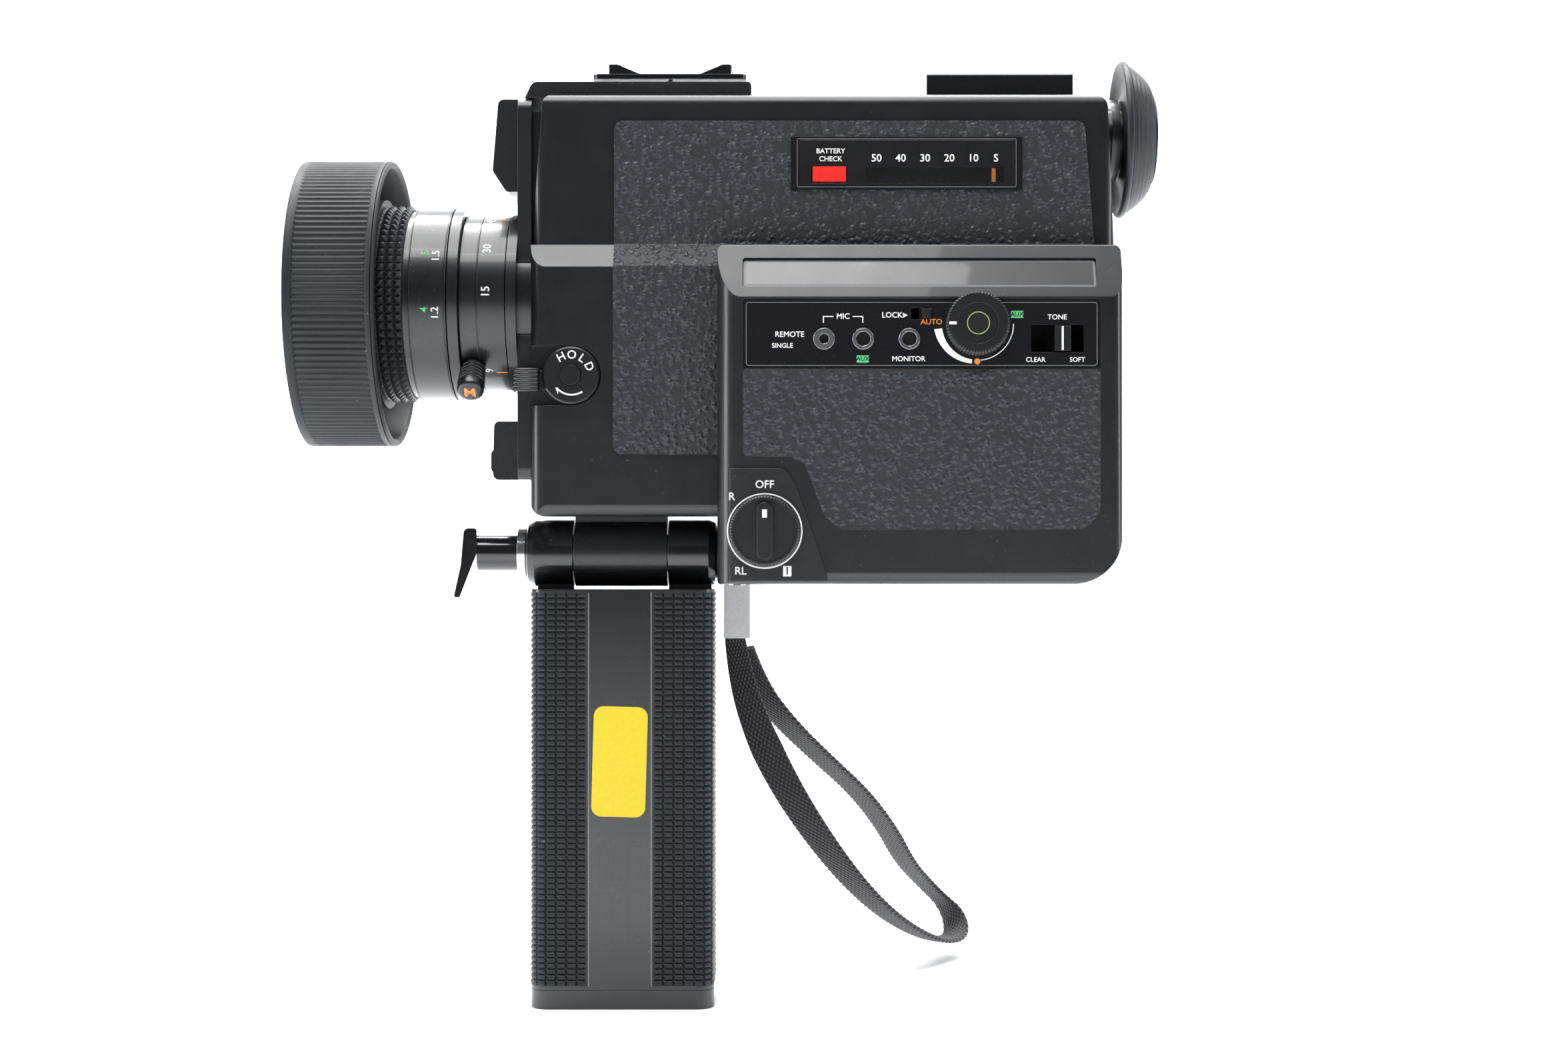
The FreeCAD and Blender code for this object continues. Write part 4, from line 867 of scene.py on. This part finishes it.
def panel_marks(white, orange, green, grey, dark):
    """Marks printed on the jack panel, the switch panel and the counter window, and dark discs of painted
    shade inside the jack bores.
    """
    face = JACK_PANEL_FACE
    low, high = span("jack_panel", 0), span("jack_panel", 2)
    frame_line("jack_panel_line", low[0] + 0.7, low[1] - 0.7, high[0] + 0.7, high[1] - 0.7, 0.8, 0.18,
               face, grey)
    x, z = middle("level_knob", 0), middle("level_knob", 2)
    side_patch("level_scale", band_outline(x, z, (8.8, 8.9), (10.8, 9.9), 187, 262), face, white)
    side_patch("level_arc", band_outline(x, z, 8.9, 9.12, 275, 360), face, white)
    side_patch("level_dot", disc_outline(x, z - 9.3, 0.75), face, orange)
    side_label("auto_mark", "AUTO", 24.7, 65.4, face, 1.35, orange)
    side_label("lock_mark", "LOCK", 14.9, 67.1, face, 1.35, white)
    side_patch("lock_arrow", [(17.6, 66.5), (18.8, 67.1), (17.6, 67.7)], face, white)
    side_label("remote_mark", "REMOTE", -10.6, 62.3, face, 1.35, white)
    side_label("single_mark", "SINGLE", -12.4, 59.5, face, 1.15, white)
    side_label("mic_mark", "MIC", 2.7, 66.8, face, 1.35, white)
    bracket("mic_left", -2.3, 0.3, 65.2, 66.9, face, white, (True, False))
    bracket("mic_right", 5.1, 7.7, 65.2, 66.9, face, white, (False, True))
    boxed_label("aux_jack_mark", "AUX", 7.6, 56.2, face, 1.1, green, dark)
    side_label("monitor_mark", "MONITOR", 19.0, 56.2, face, 1.25, white)
    boxed_label("aux_mark", "AUX", 46.0, 67.3, face, 1.1, green, dark)
    side_label("tone_mark", "TONE", 56.0, 66.6, face, 1.25, white)
    side_label("clear_mark", "CLEAR", 50.6, 56.0, face, 1.15, white)
    side_label("soft_mark", "SOFT", 61.0, 56.0, face, 1.15, white)
    side_patch("tone_line", plain_outline(57.0, 57.5, 58.4, 64.3),
               span("tone_slide", 1)[0], white, "tone_slide")
    rings = span("jack_sockets", 1)[0]
    # Dark discs set back in the jack bores: painted shade inside the holes.
    for number, (jack_x, bore) in enumerate(((-2.05, 1.25), (7.7, 1.8), (19.2, 1.8))):
        side_patch(f"jack_bore_painted_shade_{number}", disc_outline(jack_x, 61.2, bore - 0.02), rings + 1.2, dark)
    face = SWITCH_PANEL_FACE
    for name, words, mark_x, mark_z in (("off", "OFF", -16.8, 24.9), ("run", "R", -25.0, 21.9),
                                        ("lock", "RL", -22.8, 3.4)):
        side_label(f"switch_mark_{name}", words, mark_x, mark_z, face, 1.9, white)
    boxed_label("switch_mark_single", "1", -11.2, 3.4, face, 1.9, white, dark)
    face = BEZEL_FACE + 0.2
    for words, mark_x in (("50", 11.6), ("40", 17.8), ("30", 24.0), ("20", 30.2), ("10", 36.3),
                          ("S", 42.1)):
        side_label(f"counter_mark_{words}", words, mark_x, 108.5, face, 1.9, white)
    side_label("battery_mark", "BATTERY", -0.1, 110.3, face, 1.25, white)
    side_label("check_mark", "CHECK", -0.1, 108.3, face, 1.25, white)
    low, high = span("counter_bezel", 0), span("counter_bezel", 2)
    frame_line("counter_line", low[0] + 1.6, low[1] - 1.6, high[0] + 0.55, high[1] - 0.55, 0.5, 0.15,
               BEZEL_FACE, grey)


def lens_marks(white, orange, green):
    """Distance and focal length scales round the rings."""
    for words, angle in (("2", 57.0), ("1.5", 24.0), ("1.2", -10.0)):
        ring_label(f"distance_{words}", words, -100.5, angle, 25.3, 1.9, white, "focus_group")
    for words, angle in (("5", 26.0), ("4", -8.0)):
        ring_label(f"distance_feet_{words}", words, -103.2, angle, 25.3, 1.9, green, "focus_group")
    for words, angle in (("45", 64.0), ("30", 33.0), ("15", 3.0), ("9", -52.0)):
        ring_label(f"focal_{words}", words, -87.9, angle, 23.1, 2.1, white, "zoom_group")
    for number, angle in enumerate((66.0, -54.0)):
        ring_line(f"focal_tick_{number}", -86.2, -83.4, angle, 23.1, 0.4, orange, "zoom_group")
    ring_line("index_line", -97.3, -95.1, 57.0, 25.2, 0.4, white, "body")


def groove_bands(satin):
    """Turned grooves and raised lands along the lens, as thin closed rings."""
    for name, x, radius, width, body in (("zoom_land", -90.3, 23.12, 0.45, "zoom_group"),
                                         ("focus_land", -98.3, 25.32, 0.4, "focus_group"),
                                         ("focus_step", -107.2, 25.34, 0.3, "focus_group")):
        half = width / 2
        stations = [x - half, x - width / 4, x + width / 4, x + half, x + half, x - half]
        radii = [radius, radius + 0.12, radius + 0.12, radius, radius - 0.4, radius - 0.4]
        piece = around_x(name, stations, radii, satin, 160, z=LENS_Z)
        outward_fix(piece)
        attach(piece, body)


def eyecup(material):
    """Ribbed rubber eyecup: a turned bell with concentric ribs on its back and a bead round its rim."""
    x0, x1 = span("eyecup", 0)
    z = middle("eyecup", 2)
    outer = span("eyecup", 2)[1] - z
    t = np.linspace(0, 1, 70)
    back_x = x0 + 2.1 + (x1 - x0 - 2.6) * np.sin(t * math.pi / 2) ** 1.15
    back_r = outer - 0.9 - (outer - 12.4) * t ** 1.25
    rib = 0.28 * (0.5 - 0.5 * np.cos(t * 2 * math.pi * 8))
    back_x = back_x - rib
    bead = np.linspace(math.pi, 0, 10)
    bead_x = x0 + 1.05 - 1.05 * np.cos(bead[::-1])
    bead_r = outer - 1.05 + 1.05 * np.sin(bead)
    mouth = [(x1, 11.6), (x1 - 0.2, 10.6), (x1 - 1.2, 9.2), (x1 - 4.0, 7.6), (77.2, 7.05), (77.0, 7.05),
             (77.0, 8.2), (76.4, 8.25), (76.2, 10.0), (77.6, 13.5), (77.5, 16.5), (76.6, outer - 2.2)]
    stations = np.concatenate([bead_x, back_x[1:], [point[0] for point in mouth]])
    radii = np.concatenate([bead_r, back_r[1:], [point[1] for point in mouth]])
    piece = around_x("eyecup_rubber", stations, radii, material, 128, z=z)
    outward_fix(piece)
    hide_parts("eyecup")
    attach(smoothed(piece, 60), "body")


# ---------------------------------------------------------------- strap
STRAP_ROUTE = [
    (-25.2, 3.0, -13.6), (-23.8, 3.0, -25.0), (-19.0, 4.5, -40.0), (-11.0, 9.5, -56.5),
    (-1.0, 17.5, -72.5), (9.5, 27.5, -86.5), (20.5, 40.0, -97.5), (32.0, 55.0, -105.0),
    (39.0, 66.5, -105.5), (37.0, 75.0, -98.5), (29.5, 72.0, -91.0), (23.0, 62.0, -83.0),
    (17.5, 51.0, -72.0), (9.0, 39.0, -60.0), (-1.5, 27.0, -49.5), (-12.0, 16.0, -38.5),
    (-19.5, 9.5, -28.0), (-22.5, 4.5, -18.0),
]
STRAP_WIDTH = 8.6
STRAP_THICK = 1.5
WEFT, WARP = 1.25, 1.9


def strap_line():
    """The strap's centre line: points of the smooth spline through the route."""
    curve = bpy.data.curves.new("strap_route", "CURVE")
    curve.dimensions = "3D"
    curve.resolution_u = 24
    spline = curve.splines.new("NURBS")
    spline.points.add(len(STRAP_ROUTE) - 1)
    for point, place in zip(spline.points, STRAP_ROUTE):
        point.co = (*(value * MM for value in place), 1.0)
    spline.order_u = 3
    spline.use_endpoint_u = True
    holder = bpy.data.objects.new("strap_route", curve)
    show(holder)
    bpy.context.view_layer.update()
    points = read(bpy.data.meshes.new_from_object(holder).vertices, "co")
    bpy.data.objects.remove(holder)
    return points


def build_strap(material):
    """Woven band: the section, a flat superellipse, is carried along the line with its wide side turned
    smoothly from facing the control side at the clip to edge-on, and its faces rippled by the weave."""
    line = strap_line()
    step = np.linalg.norm(np.diff(line, axis=0), axis=1)
    keep = np.concatenate([[True], step > 1e-7])
    line = line[keep]
    length = run_length(line)
    count = 700
    even = np.linspace(0, length[-1], count)
    path = resample(even, length, line)
    tangent = unit(np.gradient(path, axis=0))
    share = even / length[-1]
    first = np.array([1.0, 0.12, 0.0])
    second = np.array([0.55, -0.83, 0.0])
    third = np.array([0.62, -0.78, 0.1])
    blend = np.interp(share, [0, 0.12, 0.45, 0.5, 0.62, 0.9, 1.0], [0, 0.15, 1, 1, 1, 0.7, 0.2])[:, None]
    wide = first * (1 - blend) + (second * 0.5 + third * 0.5) * blend
    wide = unit(wide - np.einsum("ij,ij->i", wide, tangent)[:, None] * tangent)
    thin = np.cross(tangent, wide)
    turn = full_turn(72)
    power = 4.0
    reach = (np.abs(np.cos(turn)) ** power + np.abs(np.sin(turn)) ** power) ** (-1 / power)
    half_wide = STRAP_WIDTH / 2 * reach * np.cos(turn)
    half_thin = STRAP_THICK / 2 * reach * np.sin(turn)
    narrow = np.interp(share, [0, 0.04, 0.12, 0.9, 0.96, 1.0], [0.62, 0.75, 1, 1, 0.75, 0.62])[:, None]
    weave = (0.16 * np.sin(half_wide[None, :] * 2 * math.pi / WEFT)
             * np.sin(even[:, None] / MM * 2 * math.pi / WARP))
    side = np.sign(np.sin(turn))[None, :]
    offset = half_wide[None, :, None] * narrow[:, :, None] * wide[:, None, :]
    offset = offset + (half_thin[None, :] + weave * side)[:, :, None] * thin[:, None, :]
    grid = path[:, None, :] + offset * MM
    points = grid.reshape(-1, 3)
    faces = grid_faces(count, len(turn), wrap_columns=True).tolist()
    faces.append(list(range(len(turn)))[::-1])
    faces.append(list(range((count - 1) * len(turn), count * len(turn))))
    piece = link("woven_strap", points, faces, material)
    outward_fix(piece)
    layer = piece.data.attributes.new("weave_place", "FLOAT_VECTOR", "POINT")
    place = points_at(half_wide, even[:, None] / MM, 0.0)
    layer.data.foreach_set("vector", place.reshape(-1))
    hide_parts("wrist_strap")
    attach(piece, "body")


def woven_fabric():
    """Coarse black webbing: crossing threads from two waves along the strap's own coordinates."""
    finish = Finish("woven_webbing", (0.02, 0.02, 0.022), 0.85, specular=0.25)
    place = finish.tree.nodes.new("ShaderNodeAttribute")
    place.attribute_name = "weave_place"
    split = finish.node("SeparateXYZ", Vector=place.outputs["Vector"])
    across = finish.arithmetic("SINE", finish.arithmetic("MULTIPLY", split.outputs[0], 2 * math.pi / WEFT))
    along = finish.arithmetic("SINE", finish.arithmetic("MULTIPLY", split.outputs[1], 2 * math.pi / WARP))
    cross = finish.arithmetic("MULTIPLY", across, along)
    tone = finish.ramp(cross, [(0.0, (0.010, 0.010, 0.011)), (0.9, (0.050, 0.050, 0.054))])
    finish.set_colour(tone)
    finish.shader.inputs["Sheen Weight"].default_value = 0.35
    finish.shader.inputs["Sheen Roughness"].default_value = 0.5
    finish.bump(cross, 0.00012, 0.7)
    finish.bump(finish.noise(5000.0, 2.0), 0.00004, 0.6)
    return finish.done()


# ---------------------------------------------------------------- film side and top
def door_details(leather, satin, glass):
    """Leather inlay with a small film window on the film door, drawn as thin raised sheets."""
    top = 112.0

    def far_patch(name, outline, lift, material):
        piece = flat_face(name, points_at(outline[:, 0], lift, outline[:, 1]) * MM, material, 1)
        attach(piece, "film_door")

    far_patch("door_leather", rounded_outline(-18.0, 55.0, 9.0, top, 3.0), 26.06, leather)
    far_patch("door_leather_rear", rounded_outline(55.6, 68.4, 9.0, 52.0, 2.5), 26.06, leather)
    far_patch("door_window_frame", rounded_outline(4.0, 42.0, 58.0, 78.0, 2.0), 26.10, satin)
    far_patch("door_window", rounded_outline(5.6, 40.4, 59.6, 76.4, 1.2), 26.14, glass)


def top_details(satin):
    """Ribs across the raised ends of the zoom rocker."""
    front, rear = span("zoom_rocker", 0)
    top = span("zoom_rocker", 2)[1]
    turn = np.linspace(0, math.pi, 9)
    for side, start in enumerate((front + 4.2, rear - 6.6)):
        for rib in range(4):
            x = start + rib * 0.9 + (0.0 if side == 0 else -0.2)
            grid = points_at(x + 0.3 * np.cos(turn), np.array([[-6.2], [6.2]]),
                             np.minimum(top - 0.25 + 0.42 * np.sin(turn), top - 0.02))
            piece = surface(f"rocker_rib_{side}_{rib}", grid * MM, satin)
            if sum(face.normal.z for face in piece.data.polygons) < 0:
                piece.data.flip_normals()
            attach(piece, "zoom_rocker")


def finish_nodes(table):
    """Gives each CAD node its material."""
    for material, names in table:
        for name in names:
            mesh = NODES[name].data
            mesh.materials.clear()
            mesh.materials.append(material)


def build():
    aim_camera()
    build_studio()
    satin = moulded_black("satin_black")
    crackle = moulded_black("cast_black", 0.006, 0.36, 1700.0, 0.00003, 0.0004)
    fine = moulded_black("anodised_black", 0.006, 0.28, 3200.0, 0.000006, 0.00015)
    smooth_black = moulded_black("smooth_black", 0.005, 0.22, 3000.0, 0.000005, 0.0003, 0.5)
    gloss = gloss_black()
    leather = leatherette()
    rubber_black = rubber("grip_rubber_black", 0.013, 0.40)
    rubber_grey = rubber("hood_rubber_grey", 0.011, 0.5)
    chrome = metal("plated_chrome", (0.82, 0.82, 0.83), 0.14)
    steel = metal("satin_steel", (0.55, 0.55, 0.56), 0.34, stretch=(1, 8, 1))
    brass = metal("turned_brass", (0.70, 0.52, 0.24), 0.28)
    zinc = metal("zinc_plate", (0.42, 0.43, 0.46), 0.42)
    glass = coated_glass("coated_lens_glass", (0.78, 0.82, 0.95))
    window = coated_glass("window_glass", (0.98, 0.98, 0.98), 0.03, (1, 1, 1), 0.0)
    white = paint("white_fill", (0.88, 0.88, 0.86))
    orange = paint("orange_fill", (0.90, 0.28, 0.04))
    green = paint("green_fill", (0.10, 0.55, 0.22))
    # Grey for printed lines, also the painted highlight lines along the grip strip edges.
    grey = paint("grey_line", (0.16, 0.165, 0.175), 0.35)
    yellow = paint("yellow_label", (0.72, 0.56, 0.01), 0.42)
    # Lighter black for the battery diagram: painted highlight standing in for the embossed relief.
    faint = moulded_black("embossing_painted_highlight", 0.03, 0.3)
    red = paint("red_button", (0.75, 0.02, 0.015), 0.35)
    # Near-black fill for printed marks, also used as painted shade inside the jack bores.
    dark = paint("dark_print_and_painted_shade", (0.002, 0.002, 0.002), 0.9)
    pale_green = paint("well_rim", (0.30, 0.36, 0.12), 0.4)
    shadow = moulded_black("shadow_black", 0.006, 0.6)
    finish_nodes([
        (satin, ["left_cover", "right_cover", "sound_box_cover", "film_door", "switch_dial", "level_knob",
                 "exposure_lever", "exposure_button", "tone_slide", "level_lock_slide", "door_latch"]),
        (crackle, ["main_frame", "top_housing", "sensor_block", "foot_block", "front_plate", "switch_panel"]),
        (fine, ["lens_barrel", "zoom_ring", "focus_ring", "eyepiece_tube", "diopter_ring", "shutter_disc",
                "zoom_lever"]),
        (smooth_black, ["accessory_shoe", "grip_shell", "base_cap", "zoom_rocker", "zoom_rocker_plate"]),
        (gloss, ["jack_panel", "counter_bezel", "trigger"]),
        (leather, ["upper_leatherette", "sound_leatherette"]),
        (rubber_black, ["grip_rubber", "drive_belt", "eyecup", "focus_grip", "lens_hood"]),
        (chrome, ["jack_sockets", "trigger_collar"]),
        (steel, ["strap_lug", "strap_clip", "door_hinge_pin", "hinge_pivot", "cover_screws",
                 "film_gate", "tripod_socket"]),
        (brass, ["flywheel", "motor_pulley"]),
        (zinc, ["drive_motor", "batteries"]),
        (glass, ["front_lens", "rear_lens", "eyepiece_lens"]),
        (window, ["counter_window"]),
        (red, ["battery_button"]),
        (orange, ["counter_needle"]),
        (shadow, ["film_cartridge"]),
    ])
    build_hood(rubber_grey)
    build_focus_grip(rubber_black)
    build_zoom_lever(satin, orange)
    build_grip_rubber(rubber_black)
    build_grip_details(grey, yellow, faint)
    hand_controls(satin, white, pale_green, dark)
    blank_plate(grey, smooth_black)
    panel_marks(white, orange, green, grey, dark)
    lens_marks(white, orange, green)
    groove_bands(fine)
    eyecup(rubber_black)
    build_strap(woven_fabric())
    door_details(leather, satin, gloss)
    top_details(satin)


build()
bpy.context.view_layer.update()
